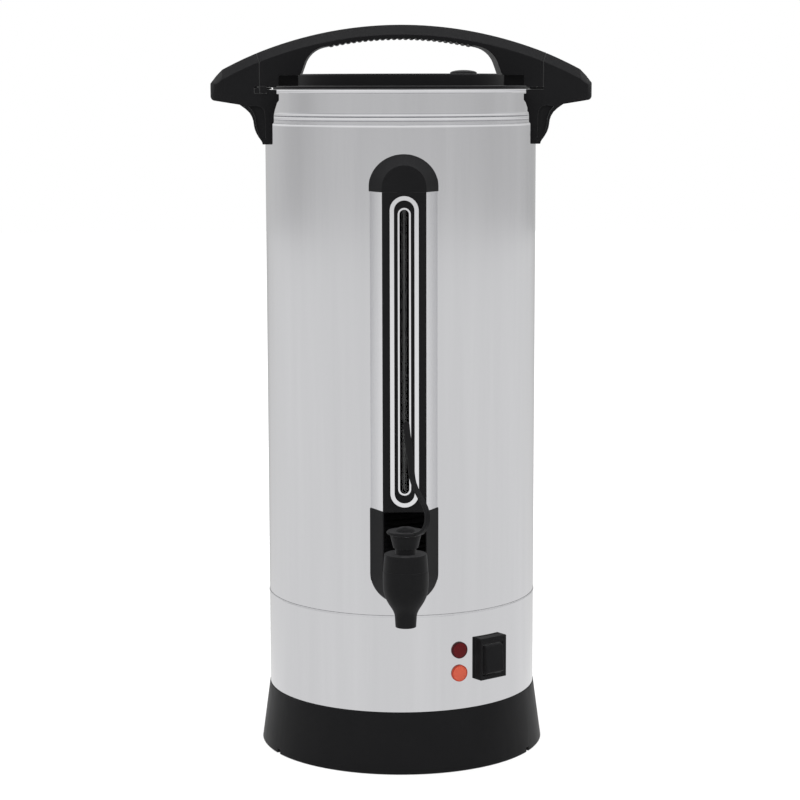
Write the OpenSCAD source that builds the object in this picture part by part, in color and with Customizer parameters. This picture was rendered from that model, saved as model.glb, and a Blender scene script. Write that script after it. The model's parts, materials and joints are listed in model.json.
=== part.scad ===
// Steel coffee urn with a percolator: black base, front tap and sight gauge, rocker switch and two lamps,
// and an arched lid handle whose feet turn out from between the two side handles.
// +Z is up, the floor is Z = 0, the axis of the tank is the Z axis and the front faces -Y.

/* [Body] */
// Outside radius of the tank and the lower band
body_r = 110; // [104:1:118]
// Thickness of the steel sheet
sheet = 1; // [0.7:0.1:1.4]
// Height of the black base skirt
base_h = 48.8; // [44:0.4:56]
// How far the foot of the skirt stands out past the body
base_flare = 7; // [4:0.1:9]
// Wall of the moulded skirt
skirt_wall = 2.5; // [2:0.1:3.2]
// Visible height of the lower band
band_h = 79; // [74:0.5:90]
// Height of the tank from the seam to the shoulder
tank_h = 383.2; // [370:0.4:410]
// How far the neck is drawn in from the body
neck_step = 7; // [6.5:0.1:8]
// Height from the shoulder to the top of the rim
neck_h = 28.3; // [27:0.1:31]
// Height of the rolled rim
rim_h = 3.1; // [2.4:0.1:3.6]
// Dark gap that shows between the skirt and the band
seam_gap = 0.4; // [0.2:0.1:0.8]

/* [Tank floor and heater] */
// Height of the tank floor above the seam
floor_rise = 7; // [5:0.5:10]
// Inside radius of the heating well under the pump
well_r = 28; // [26:0.5:32]
// Depth of the heating well
well_depth = 12; // [10:0.5:14]
// Radius of the heating ring
heater_r = 68; // [60:1:75]
// Thickness of the aluminium heat plate
heat_plate_t = 2.5; // [2:0.1:4]
// Radius of the tube of the heating ring
heater_tube_r = 4; // [3:0.25:5]

/* [Base plate and feet] */
// Height of the bottom plate above the floor
plate_z = 6; // [5:0.25:8]
// Radius of one rubber foot
foot_r = 8; // [6:0.5:10]
// Radius of the circle that the rubber feet stand on
foot_circle_r = 84; // [76:1:90]

/* [Side handles] */
// How far a side handle reaches out past the body
ear_out = 42; // [38:0.5:46]
// Half of the handle's width, front to back, at the sides
handle_half_w = 44; // [40:0.5:48]
// How far the turning seam of the lid handle lies outside the body
turn_out = 10.6; // [9:0.2:13]
// Gap across the turning seam
turn_gap = 0.6; // [0.4:0.1:1]

/* [Lid handle] */
// Height of the top of the arch above the rim
arch_rise = 51.3; // [46:0.5:58]
// Radius of the arch seen from the front
arch_r = 302.5; // [290:2.5:320]
// Half of the arch's width, front to back, at its middle
waist_half_w = 21; // [18:0.5:26]
// Width of the sloped edge along the arch
edge_c = 8; // [5:0.5:10]
// Thickness of the grip at its middle
grip_t = 10.7; // [9:0.1:14]
// Half of the width of the finger gap where it meets the lid
finger_half_w = 80.1; // [76:0.5:83]
// Distance from one finger rib to the next
rib_pitch = 4.7; // [4:0.1:6]

/* [Lid] */
// Thickness of the silicone seal
seal_t = 1; // [0.8:0.1:1.4]
// How far the lid flange reaches past the neck
flange_over = 1; // [0.4:0.2:2]
// Thickness of the lid flange
flange_t = 1.7; // [1.4:0.1:2.2]
// Width of the lid flange outside the raised part
flange_w = 17.5; // [15:0.5:20]
// Height of the raised part above the flange
raised_h = 9.5; // [8:0.25:12]
// Wall of the lid moulding
lid_wall = 2.5; // [2:0.1:3]
// Radius of the vent cap
vent_r = 10.7; // [9:0.1:12]

/* [Gauge] */
// Height of the gauge guard's lower end above the floor
guard_z = 214.2; // [208:0.2:220]
// Length of the gauge guard
guard_l = 247.5; // [230:0.5:255]
// Half of the guard's width at the tank
guard_half_base = 26.1; // [24:0.1:28]
// Half of the guard's width at its front
guard_half_front = 17; // [16:0.1:18.5]
// How far the guard stands out from the body
guard_proud = 14; // [12:0.25:16]
// Thickness of the black front panel
panel_t = 1.5; // [1:0.1:2]
// Half of the width of the bright ring
ring_half_w = 11.05; // [10:0.05:12.5]
// Width of the band of the bright ring
ring_band = 3.2; // [2.5:0.1:4]
// Half of the width of the trim round the slot
trim_half_w = 5; // [4.8:0.05:5.8]
// Width of the band of the slot's trim
trim_band = 1.35; // [1.2:0.05:1.8]
// Outside radius of the sight glass
glass_r = 4.5; // [3.5:0.1:5]

/* [Tap] */
// Distance from the body to the axis of the tap
tap_out = 47; // [44:0.5:52]
// Height of the shank's axis above the floor
shank_z = 163; // [160:0.5:167]
// Largest radius of the tap body
tap_r = 17.6; // [16.5:0.1:19]
// Height of the spout's mouth above the floor
spout_z = 130.6; // [128:0.2:133]
// Radius of the spout's bore
spout_bore_r = 5.5; // [4.5:0.1:6.2]
// Outside radius of the threaded shank
shank_r = 7.5; // [6.5:0.1:8]
// Angle of the lever's plane, turned from the front
lever_az = 37; // [0:1:60]
// Width of the lever's arm
lever_w = 4; // [3:0.1:6]
// Width of the lever's paddle
paddle_w = 5; // [4:0.1:8]
// Thickness of the lever's arm
lever_t = 2.4; // [2:0.1:4]
// Radius of the disc at the lever's foot
lever_disc_r = 14.6; // [13.5:0.1:16]

/* [Switch and lamps] */
// Angle of the switch round the body, from the front
switch_az = 36.4; // [34:0.1:40]
// Height of the middle of the switch
switch_z = 89.9; // [86:0.1:94]
// Width of the switch housing
switch_w = 26.3; // [24:0.1:28]
// Height of the switch housing
switch_h = 34; // [32:0.1:36]
// How far the housing stands out from the body
switch_proud = 10.5; // [8:0.5:12]
// Angle that the rocker tips through
rocker_tip = 10; // [8:1:14]
// Angle of the lamps round the body, from the front
lamp_az = 23.3; // [20:0.1:25]
// Height of the middle between the two lamps
lamp_z = 88; // [84:0.5:92]
// Distance between the two lamps
lamp_pitch = 18.8; // [16:0.2:22]
// Radius of a lamp's lens
lamp_r = 6.5; // [5.5:0.1:7]

/* [Power inlet] */
// Width of the inlet's flange
inlet_w = 50; // [48:0.5:54]
// Height of the inlet's flange
inlet_h = 28; // [26:0.5:30]
// Height of the middle of the inlet
inlet_z = 90; // [86:0.5:94]

/* [Percolator] */
// Outside radius of the pump stem
stem_r = 5; // [4.5:0.1:5.5]
// Wall of the pump stem
stem_wall = 0.8; // [0.6:0.1:1]
// Radius of the pump's foot
pump_foot_r = 24; // [22:0.5:25]
// Outside radius of the coffee basket
basket_r = 78; // [70:1:84]
// Height of the coffee basket
basket_h = 62; // [50:1:66]
// Radius of one hole in the basket
hole_r = 1.5; // [1.2:0.1:1.8]

/* [Fits] */
// Gap between parts that are fitted together
fit = 0.1; // [0.05:0.01:0.15]
// Gap between parts that move past each other
slide_gap = 0.3; // [0.25:0.05:0.5]
// Gap round a pin or stem that turns or slides in its hole
pin_gap = 0.05; // [0.03:0.01:0.08]

/* [Hidden] */
$fn = 96;
eps = 0.01;

black = [0.1, 0.1, 0.1];
steel = [0.75, 0.75, 0.76];
bright = [0.88, 0.88, 0.9];
brass = [0.8, 0.65, 0.3];
grey_rubber = [0.3, 0.3, 0.31];

// Heights and radii of the body
seam_z = base_h + band_h;
shoulder_z = seam_z + tank_h;
rim_z = shoulder_z + neck_h;
neck_r = body_r - neck_step;
neck_in_r = neck_r - sheet;
tank_in_r = body_r - sheet;
floor_z = seam_z + floor_rise;
well_z = floor_z - well_depth;
lap_r = tank_in_r - fit;
lap_drop = 14;
collar_r0 = neck_r + 2.2;

// Rolled rim: it is rolled outwards round its bead
rim_bead_r = rim_h / 2;
rim_r = neck_r + rim_h;

// Skirt
skirt_r = body_r + base_flare;
skirt_rim_w = 6;
spigot_h = 8;
notch_w = 4;
notch_h = 3.5;
notch_az = 61;
plate_t = 1.2;
plate_r = skirt_r - skirt_rim_w - 2 * fit;
boss_r = 4.5;
boss_circle_r = plate_r - boss_r - 2;
boss_h = 14;

// Screws: pan heads with plain shanks
screw_r = 2;
screw_head_r = 3.6;
screw_head_h = 2.2;

// Lid stack
flange_r = neck_r + flange_over;
raised_r = flange_r - flange_w;
flange_z = rim_z + seal_t;
flange_top = flange_z + flange_t;
lid_top = flange_z + flange_t + raised_h;
seal_in_r = neck_in_r - slide_gap - 2;
liner_r = seal_in_r - slide_gap;
liner_drop = 10.5;
liner_lip = 3;
vent_x = 49.4;
vent_y = -36;
vent_bore_r = 3;
arch_screw_places = [for (s = [-1, 1], t = [-1, 1]) [s * (raised_r + 4), t * 15]];

// Arch and side handles
turn_r = body_r + turn_out;
ear_reach = body_r + ear_out;
ear_slope_x = ear_reach - 8;
ear_tip_z = rim_z + 4.6;
leg_in_x = body_r - 14;
arch_top = rim_z + arch_rise;
arch_cz = arch_top - arch_r;
turn_in_r = turn_r - turn_gap / 2;
turn_out_r = turn_r + turn_gap / 2;
flare_x = sqrt(turn_r * turn_r - handle_half_w * handle_half_w);
flare = handle_half_w - waist_half_w;
plan_r = (flare_x * flare_x + flare * flare) / (2 * flare);
foot_bottom = rim_z + 1.6;
bracket_top = rim_z - 0.2;
cheek_in_r = flange_r + 0.8;
cheek_gap_w = 28;
key_drop = 4.3;
key_len = 5.5;
key_in_r = turn_r - 5.6;
key_stub = 3.4;
ear_corner_r = 10;
handle_screw_z = shoulder_z - 7.5;
handle_screw_az = 11.5;

// Finger gap of the arch: a ribbed arc over rounded corners and leaning sides
gap_r = 283;
gap_cz = arch_top - grip_t - gap_r;
gap_corner_r = 20.5;
gap_lean = 20;
gap_floor = lid_top - 1;
rib_h = 0.9;
rib_half_count = 12;
rib_angle = rib_pitch / gap_r * 180 / PI;

// Gauge column
guard_front = body_r + guard_proud;
guard_top = guard_z + guard_l;
column_front = guard_front + panel_t;
end_lip = 0.8;
end_half_base = guard_half_base + end_lip;
ring_z0 = guard_z + 3.7;
ring_z1 = guard_top - 2.8;
trim_z0 = guard_z + 13.1;
trim_z1 = guard_top - 11.7;
slot_half_w = trim_half_w - trim_band;
ring_t = 1.2;
glass_y = guard_front - 8.2;
glass_wall = 1;
port_r = glass_r + 1.1;
channel_half = port_r + 1.3;
channel_wall = 0.7;
channel_margin = 4;
glass_bottom = shank_z + 22;
glass_top = guard_top + 9;
glass_seal_z = shank_z + 33 + fit;
cap_cz = guard_top + 3.4;
bracket_cz = shank_z - 1;

// Tap
tap_reach = body_r + tap_out;
tap_neck_r = 10;
fitting_r = 10.5;
fitting_front = guard_front - 3.4;
washer_t = 1.6;
inner_face = tank_in_r - 2.6;
nut_h = 5;
spout_r = 8;
collar_z = shank_z + 12;
collar_top = collar_z + 12.9;
collar_r = tap_r - 0.3;
bowl_z = collar_top + 4.7;
bowl_top = bowl_z + 10.1;
bowl_r1 = 9.5;
bowl_r2 = 11.9;
bowl_wall = 1.5;
seat_z = spout_z + 19;
chamber_r = tap_r - 6.3;
tap_spigot_r = tap_r - 3;
tap_spigot_h = 6;
valve_rod_r = 2.5;
valve_tip_r = 1.8;
lever_pin_r = 1;
lever_pin_z = bowl_top - 3.7;
lever_foot_z = bowl_top + 0.15;
lever_disc_z = bowl_top + 1;
lever_disc_t = 2;
lug_t = 1.6;

// Switch and lamps
switch_face = body_r + switch_proud;
rocker_w = 20.2;
rocker_h = 24.2;
rocker_x = -0.9;
rocker_z = switch_z - 0.7;
rocker_axis = switch_face - 4;
rocker_mid = 6.6;
rocker_pin_r = 1.5;
rocker_end_gap = 0.6;
pocket_depth = 12;
switch_body_w = 22;
switch_body_h = 28;
switch_back = body_r - 16;

// Power inlet
inlet_body_w = 28;
inlet_body_h = 21;
inlet_screw_x = inlet_w / 2 - 4.5;
inlet_face = body_r + 3.5;
inlet_depth = 22;
socket_w = 23;
socket_h = 15.5;
socket_depth = 17;
pin_w = 2;
pin_h = 4;
pin_places = [[-7, -2], [0, 2.5], [7, -2]];

// Percolator
basket_top = rim_z - 31;
basket_z = basket_top - basket_h;
stem_top = basket_top + 16;
sleeve_r = stem_r + 2.3;
basket_wall = 0.8;
stop_h = 4;
valve_disc_r = 9;
valve_disc_t = 0.8;
valve_travel = 2.5;
pump_foot_h = 22;
valve_seat_h = 6;
hole_rings = [for (i = [0:3]) basket_r * (0.28 + 0.19 * i)];
hole_counts = [12, 20, 28, 36];

// ---------------------------------------------------------------- helpers

// Points of an arc from angle a0 to a1
function arc(c, r, a0, a1, n = 10) =
    [for (i = [0:n]) let (a = a0 + (a1 - a0) * i / n) c + r * [cos(a), sin(a)]];

// A point of a cubic curve with four control points
function cubic(p, t) =
    pow(1 - t, 3) * p[0] + 3 * t * pow(1 - t, 2) * p[1] + 3 * t * t * (1 - t) * p[2] + pow(t, 3) * p[3];
function curve(p, n = 12, first = 0) = [for (i = [first:n]) cubic(p, i / n)];

// Outline of a strip along a path, t0 wide at its start and t1 wide at its end
function side_step(path, i, t0, t1) =
    let (n = len(path) - 1, a = path[max(i - 1, 0)], b = path[min(i + 1, n)], d = (b - a) / norm(b - a))
    [-d[1], d[0]] * (t0 + (t1 - t0) * i / n) / 2;
function strip(path, t0, t1) = concat(
    [for (i = [0:len(path) - 1]) path[i] + side_step(path, i, t0, t1)],
    [for (i = [len(path) - 1:-1:0]) path[i] - side_step(path, i, t0, t1)]);

// Turns what is drawn at the front to an angle round the body
module at_az(a) { rotate([0, 0, a]) children(); }

// Room for the tank's wall in what is fitted on the outside of it
module tank_room() { cylinder(r = body_r + fit, h = rim_z, $fn = 192); }

// A cylinder that lies along Y, from y0 back to y1
module y_rod(r, y0, y1, fn = 48) {
    translate([0, y0, 0]) rotate([-90, 0, 0]) cylinder(r = r, h = y1 - y0, $fn = fn);
}

// A cone that lies along Y, r0 at y0 and r1 at y1
module y_cone(r0, r1, y0, y1) {
    translate([0, y0, 0]) rotate([-90, 0, 0]) cylinder(r1 = r0, r2 = r1, h = y1 - y0);
}

// A ring with a rectangular section
module ring(r_in, r_out, z0, z1) {
    rotate_extrude() translate([r_in, z0]) square([r_out - r_in, z1 - z0]);
}

// A pan-head screw: its head is below z = 0 and its shank points up
module screw(len, r = screw_r, head_r = screw_head_r, head_h = screw_head_h) {
    difference() {
        union() {
            cylinder(r = r, h = len, $fn = 32);
            translate([0, 0, -head_h]) cylinder(r1 = head_r * 0.8, r2 = head_r, h = head_h, $fn = 32);
        }
        for (a = [0, 90]) rotate([0, 0, a])
            translate([-head_r * 0.45, -0.4, -head_h - eps]) cube([head_r * 0.9, 0.8, 1.1]);
    }
}

// A front outline, drawn in X and Z, made a solid between y0 and y1
module front_prism(points, y0, y1) {
    translate([0, y1, 0]) rotate([90, 0, 0]) linear_extrude(height = y1 - y0) polygon(points);
}

// A side outline, drawn in Y and Z, made a solid between x0 and x1
module side_prism(points, x0, x1) {
    translate([x0, 0, 0]) rotate([90, 0, 90]) linear_extrude(height = x1 - x0) polygon(points);
}

// A solid through rings of points, one ring per station
module loft(rings) {
    n = len(rings[0]);
    m = len(rings);
    polyhedron(
        points = [for (r = rings) each r],
        faces = concat(
            [[for (j = [n - 1:-1:0]) j]],
            [for (i = [0:m - 2]) for (j = [0:n - 1]) let (k = (j + 1) % n, a = i * n, b = a + n)
                each [[b + k, b + j, a + j], [a + k, b + k, a + j]]],
            [[for (j = [0:n - 1]) (m - 1) * n + j]]));
}

// ---------------------------------------------------------------- base and electrics

module base_skirt() {
    inner_top_r = lap_r - skirt_wall;
    top_lip = 0.5;
    rib_len = skirt_r - skirt_wall - 0.8 - boss_circle_r;
    color(black) difference() {
        union() {
            rotate_extrude() polygon([
                [skirt_r - skirt_rim_w, 0], [skirt_r - 0.4, 0], [skirt_r, 0.4],
                [body_r + top_lip, base_h - 0.5],
                [body_r + top_lip - 0.4, base_h], [lap_r, base_h],
                [lap_r, base_h + spigot_h], [inner_top_r, base_h + spigot_h], [inner_top_r, base_h - 3],
                [skirt_r - skirt_wall - 1.5, plate_z + plate_t + 8],
                [skirt_r - skirt_rim_w, plate_z + plate_t + 2]]);
            for (a = [0:90:270]) at_az(a) translate([0, -boss_circle_r, plate_z + plate_t]) {
                cylinder(r = boss_r, h = boss_h, $fn = 48);
                translate([-1.2, -rib_len, 2]) cube([2.4, rib_len, boss_h - 4]);
            }
        }
        for (a = [notch_az, 180 - notch_az, 180 + notch_az, -notch_az]) at_az(a)
            translate([-notch_w / 2, -skirt_r - 1, -eps]) cube([notch_w, skirt_rim_w - 1, notch_h]);
        for (a = [0:90:270]) at_az(a) translate([0, -boss_circle_r, plate_z])
            cylinder(r = screw_r + fit, h = 12, $fn = 32);
    }
}

module bottom_plate() {
    vents = 5;
    color(steel) difference() {
        translate([0, 0, plate_z]) cylinder(r = plate_r, h = plate_t);
        for (a = [0:90:270]) at_az(a) translate([0, -boss_circle_r, 0])
            cylinder(r = screw_r + fit, h = 20, $fn = 32);
        for (a = [45:90:315]) at_az(a) translate([0, -foot_circle_r, 0])
            cylinder(r = foot_r / 2 + fit, h = 20, $fn = 48);
        for (s = [-1, 1], i = [0:vents - 1])
            translate([s * 42 - 20, (i - (vents - 1) / 2) * 9 - 1.5, plate_z - 1]) cube([40, 3, plate_t + 2]);
    }
}

module rubber_feet() {
    color(grey_rubber) for (a = [45:90:315]) at_az(a) translate([0, -foot_circle_r, 0])
        rotate_extrude($fn = 48)
        polygon([[0, 0], [foot_r - 1, 0], [foot_r, 1], [foot_r - 0.6, plate_z], [foot_r / 2, plate_z],
                 [foot_r / 2, plate_z + plate_t], [foot_r / 2 + 0.8, plate_z + plate_t + 0.2],
                 [foot_r / 2 - 0.8, plate_z + plate_t + 2.4], [0, plate_z + plate_t + 2.4]]);
}

module bottom_screws() {
    color(steel) for (a = [0:90:270]) at_az(a) translate([0, -boss_circle_r, plate_z]) screw(12);
}

module lower_band() {
    bead = 0.5;
    edge_z = seam_z - seam_gap / 2;
    color(steel) difference() {
        rotate_extrude() polygon(concat(
            [[tank_in_r, base_h + seam_gap], [body_r, base_h + seam_gap], [body_r, edge_z - 3 * bead]],
            arc([body_r, edge_z - 2 * bead], bead, -80, 80, 6),
            [[body_r, edge_z - bead], [body_r, edge_z], [tank_in_r, edge_z]]));
        at_az(switch_az)
            translate([-switch_body_w / 2 - fit, -body_r - 2, switch_z - switch_body_h / 2 - fit])
            cube([switch_body_w + 2 * fit, 20, switch_body_h + 2 * fit]);
        for (s = [-1, 1]) at_az(lamp_az) translate([0, 0, lamp_z + s * lamp_pitch / 2])
            y_rod(lamp_r - 1 + fit, -body_r - 2, -body_r + 4);
        at_az(180) translate([-inlet_body_w / 2 - fit, -body_r - 2, inlet_z - inlet_body_h / 2 - fit])
            cube([inlet_body_w + 2 * fit, 20, inlet_body_h + 2 * fit]);
        at_az(180) for (s = [-1, 1]) translate([s * inlet_screw_x, 0, inlet_z])
            y_rod(1.5 + fit, -body_r - 2, -body_r + 6, 32);
    }
}

module heat_plate() {
    top = floor_z - sheet;
    color("silver") ring(well_r + sheet + 3, heater_r + heater_tube_r + 8, top - heat_plate_t, top);
}

module heater_ring() {
    z = floor_z - sheet - heat_plate_t - heater_tube_r;
    gap_angle = 30;
    end_drop = 20;
    color(bright) union() {
        rotate([0, 0, -90 + gap_angle / 2]) rotate_extrude(angle = 360 - gap_angle)
            translate([heater_r, z]) circle(r = heater_tube_r, $fn = 48);
        for (s = [-1, 1]) at_az(s * gap_angle / 2) translate([0, -heater_r, z - end_drop]) {
            cylinder(r = heater_tube_r, h = end_drop, $fn = 48);
            translate([0, 0, -8]) cylinder(r = heater_tube_r / 3, h = 9, $fn = 32);
        }
        for (s = [-1, 1]) at_az(s * gap_angle / 2) translate([0, -heater_r, z])
            sphere(r = heater_tube_r, $fn = 48);
    }
}

// A snap-disc thermostat: a metal can with two blades
module snap_disc(can_r, can_h) {
    translate([0, 0, -can_h]) cylinder(r = can_r, h = can_h, $fn = 48);
    translate([0, 0, -can_h - 3]) cylinder(r = can_r - 1.5, h = 3, $fn = 48);
    for (s = [-1, 1]) translate([s * can_r / 2 - 0.4, -3, -can_h - 12]) cube([0.8, 6, 10]);
}

module thermostat() {
    color("silver") translate([(heater_r + well_r) / 2, 0, floor_z - sheet - heat_plate_t]) snap_disc(8, 8);
}

module thermal_cutout() {
    color("silver") translate([-(heater_r + well_r) / 2, 0, floor_z - sheet - heat_plate_t])
        snap_disc(6.5, 6);
}

module terminal_block() {
    ways = 3;
    way_w = 13;
    color("ivory") translate([-ways * way_w / 2, 20, plate_z + plate_t]) difference() {
        cube([ways * way_w, 22, 16]);
        for (i = [0:ways - 1]) translate([(i + 0.5) * way_w, 0, 0]) {
            translate([0, -1, 9]) rotate([-90, 0, 0]) cylinder(r = 2.2, h = 24, $fn = 32);
            for (y = [6, 16]) translate([0, y, 9]) cylinder(r = 2.5, h = 8, $fn = 32);
        }
    }
}

module switch_housing() {
    box_depth = 7.3;
    groove = 0.6;
    pocket_w = rocker_w + 2 * slide_gap;
    pocket_h = rocker_h + 2 * rocker_end_gap;
    color(black) at_az(switch_az) difference() {
        union() {
            difference() {
                union() {
                    translate([-switch_w / 2, -switch_face, switch_z - switch_h / 2])
                        cube([switch_w, box_depth, switch_h]);
                    translate([-switch_w / 2 + groove, -switch_face + 2, switch_z - switch_h / 2 + groove])
                        cube([switch_w - 2 * groove, box_depth, switch_h - 2 * groove]);
                    translate([-switch_w / 2, -switch_face + box_depth + groove, switch_z - switch_h / 2])
                        cube([switch_w, switch_proud, switch_h]);
                }
                cylinder(r = body_r, h = seam_z);
            }
            translate([-switch_body_w / 2, -body_r - 1, switch_z - switch_body_h / 2])
                cube([switch_body_w, body_r + 1 - switch_back, switch_body_h]);
            for (z = [-8, 0, 8]) translate([-3, -switch_back, switch_z + z - 0.4]) cube([6, 9, 0.8]);
        }
        translate([rocker_x - pocket_w / 2, -switch_face - 1, rocker_z - pocket_h / 2])
            cube([pocket_w, pocket_depth + 1, pocket_h]);
        translate([rocker_x - rocker_w / 2 - 2, -rocker_axis, rocker_z]) rotate([0, 90, 0])
            cylinder(r = rocker_pin_r + pin_gap, h = rocker_w + 4, $fn = 32);
    }
}

// The rocker rests with its upper end pressed in; its face is slightly hollow and its ends are bevelled
module switch_rocker() {
    back = 3;
    half = rocker_h / 2;
    hollow = 0.4;
    bevel = 1.5;
    half_side = [[-rocker_mid, 0], [-rocker_mid - hollow, half - bevel],
        [-rocker_mid - hollow + bevel, half], [back, half]];
    color(black) at_az(switch_az) translate([rocker_x, -rocker_axis, rocker_z]) {
        rotate([-rocker_tip / 2, 0, 0])
            side_prism(concat(half_side, [for (i = [3:-1:1]) [half_side[i][0], -half_side[i][1]]]),
                -rocker_w / 2, rocker_w / 2);
        rotate([0, 90, 0]) cylinder(r = rocker_pin_r, h = rocker_w + 3, center = true, $fn = 32);
    }
}

// A lamp's lens: a low dome on a stub that goes through the band
module lamp_lens(z) {
    dome = 1.3;
    edge = 1.5;
    at_az(lamp_az) translate([0, 0, z]) rotate([90, 0, 0]) difference() {
        rotate_extrude($fn = 64) polygon(concat(
            [[0, body_r - 10], [lamp_r - 1, body_r - 10], [lamp_r - 1, body_r - 2], [lamp_r, body_r - 2]],
            [for (i = [0:6]) [lamp_r * cos(i * 15), body_r + edge - 0.6 + dome * sin(i * 15)]]));
        rotate([-90, 0, 0]) translate([0, 0, -z]) difference() {
            cylinder(r = body_r, h = seam_z);
            translate([0, -body_r + 10, z]) rotate([90, 0, 0]) cylinder(r = lamp_r - 1, h = 40, $fn = 48);
        }
    }
}

module red_lamp() { color([0.4, 0.08, 0.1]) lamp_lens(lamp_z + lamp_pitch / 2); }

module amber_lamp() { color([0.85, 0.4, 0.3]) lamp_lens(lamp_z - lamp_pitch / 2); }

module lamp_holders() {
    color(black) for (s = [-1, 1]) at_az(lamp_az) translate([0, 0, lamp_z + s * lamp_pitch / 2]) {
        y_rod(lamp_r - 1.5, -body_r + 10, -body_r + 26);
        for (x = [-2, 2]) translate([x - 0.4, -body_r + 25, -1.5]) cube([0.8, 9, 3]);
    }
}

module power_inlet() {
    corner = 4;
    half_w = inlet_w / 2;
    half_h = inlet_h / 2;
    color(black) at_az(180) difference() {
        union() {
            difference() {
                translate([0, -inlet_face, inlet_z]) rotate([-90, 0, 0]) linear_extrude(height = 12)
                    polygon([
                        [-half_w, -corner], [-half_w + corner, -half_h], [half_w - corner, -half_h],
                        [half_w, -corner], [half_w, corner], [half_w - corner, half_h],
                        [-half_w + corner, half_h], [-half_w, corner]]);
                cylinder(r = body_r, h = seam_z);
            }
            translate([-inlet_body_w / 2, -body_r - 1, inlet_z - inlet_body_h / 2])
                cube([inlet_body_w, inlet_depth - 2, inlet_body_h]);
        }
        front_prism([for (p = [[-1, -1], [1, -1], [1, 0.4], [0.7, 1], [-0.7, 1], [-1, 0.4]])
            [p[0] * socket_w / 2, inlet_z + p[1] * socket_h / 2]],
            -inlet_face - 1, -inlet_face + socket_depth);
        for (p = pin_places)
            translate([p[0] - pin_w / 2 - fit, -inlet_face, inlet_z + p[1] - pin_h / 2 - fit])
                cube([pin_w + 2 * fit, 40, pin_h + 2 * fit]);
        for (s = [-1, 1]) translate([s * inlet_screw_x, 0, inlet_z])
            y_rod(1.5 + fit, -inlet_face - 1, -body_r + 6, 32);
    }
}

module inlet_pins() {
    color(brass) at_az(180) for (p = pin_places)
        translate([p[0] - pin_w / 2, -inlet_face + 4, inlet_z + p[1] - pin_h / 2]) cube([pin_w, 28, pin_h]);
}

module inlet_screws() {
    color(steel) at_az(180) for (s = [-1, 1])
        translate([s * inlet_screw_x, -inlet_face, inlet_z]) rotate([-90, 0, 0]) screw(10, 1.5, 2.8, 1.6);
}

// ---------------------------------------------------------------- tank

// Outside profile of the tank wall, from the seam up to the rim
tank_profile = concat(
    [[body_r, seam_z + seam_gap / 2]],
    arc([body_r - 2.4, shoulder_z - 0.9], 2.4, 0, 80, 6),
    [[collar_r0, shoulder_z + 2], [collar_r0, shoulder_z + 3.7]],
    arc([collar_r0, shoulder_z + 5.4], 1.5, -80, 80, 6),
    [[collar_r0 - 1, shoulder_z + 7.1]],
    arc([collar_r0 - 1, shoulder_z + 8.4], 1.1, -80, 80, 6),
    [[neck_r, shoulder_z + 10.2], [neck_r, rim_z - rim_h]]);

module tank_shell() {
    color(steel) difference() {
        rotate_extrude() polygon(concat(
            tank_profile,
            [[neck_r + rim_bead_r, rim_z - rim_h]],
            arc([neck_r + rim_bead_r, rim_z - rim_bead_r], rim_bead_r, -80, 80, 8),
            [[neck_r + rim_bead_r, rim_z], [neck_in_r, rim_z]],
            [for (i = [len(tank_profile) - 1:-1:0]) tank_profile[i] - [sheet, 0]]));
        translate([0, 0, shank_z]) y_rod(shank_r + fit, -body_r - 2, -body_r + 12);
        for (s = [-1, 1], t = [-1, 1]) at_az(s * 90 + t * handle_screw_az) translate([0, 0, handle_screw_z])
            y_rod(screw_r + fit, -body_r - 2, -body_r + 6, 32);
    }
}

module tank_floor() {
    color(steel) rotate_extrude() polygon([
        [0, well_z], [well_r, well_z], [well_r, floor_z], [lap_r, floor_z], [lap_r, seam_z - lap_drop],
        [lap_r - sheet, seam_z - lap_drop], [lap_r - sheet, floor_z - sheet],
        [well_r + sheet, floor_z - sheet],
        [well_r + sheet, well_z - sheet], [0, well_z - sheet]]);
}

// ---------------------------------------------------------------- arched lid handle and side handles

// Half of the handle's width, front to back, at a distance x from the middle
function plan_w(x) = abs(x) > flare_x ? handle_half_w : waist_half_w + plan_r - sqrt(plan_r * plan_r - x * x);

// Height of the handle's top at a distance x from the middle: the arch, then the end facet
function arch_z(x) = arch_cz + sqrt(arch_r * arch_r - x * x);
function top_z(x) = abs(x) <= ear_slope_x ? arch_z(x)
    : let (z0 = arch_z(ear_slope_x)) z0 + (ear_tip_z - z0) * (abs(x) - ear_slope_x) / (ear_reach - ear_slope_x);

// One section across the handle: upright faces, sloped edges and a flat top
function section(x, bottom) =
    let (w = plan_w(x), z = top_z(x), c = edge_c)
    [[x, -w, bottom], [x, -w, z - c], [x, -w + c, z], [x, w - c, z], [x, w, z - c], [x, w, bottom]];

module handle_blank(x0, x1, bottom, steps) {
    loft([for (i = [0:steps]) section(x0 + (x1 - x0) * i / steps, bottom)]);
}

// Centre of the rounded corners of the finger gap
function gap_corner() =
    let (a = tan(gap_lean), b = finger_half_w + lid_top * a - gap_corner_r / cos(gap_lean),
         rho = gap_r - gap_corner_r, h = a * b + gap_cz,
         z = (h + sqrt(h * h - (1 + a * a) * (b * b + gap_cz * gap_cz - rho * rho))) / (1 + a * a))
    [b - a * z, z];

module finger_gap() {
    c = gap_corner();
    foot = [finger_half_w + (lid_top - gap_floor) * tan(gap_lean), gap_floor];
    corner = arc(c, gap_corner_r, gap_lean, atan2(c[1] - gap_cz, c[0]), 8);
    ribs = [for (i = [-rib_half_count:rib_half_count]) each [
        for (q = [[-0.42, 0], [-0.2, rib_h], [0.2, rib_h], [0.42, 0]])
            [(gap_r - q[1]) * sin(-(q[0] + i) * rib_angle),
            gap_cz + (gap_r - q[1]) * cos((q[0] + i) * rib_angle)]]];
    half = concat([foot], corner);
    front_prism(concat(half, ribs, [for (i = [len(half) - 1:-1:0]) [-half[i][0], half[i][1]]]),
                -handle_half_w - 5, handle_half_w + 5);
}

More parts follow.
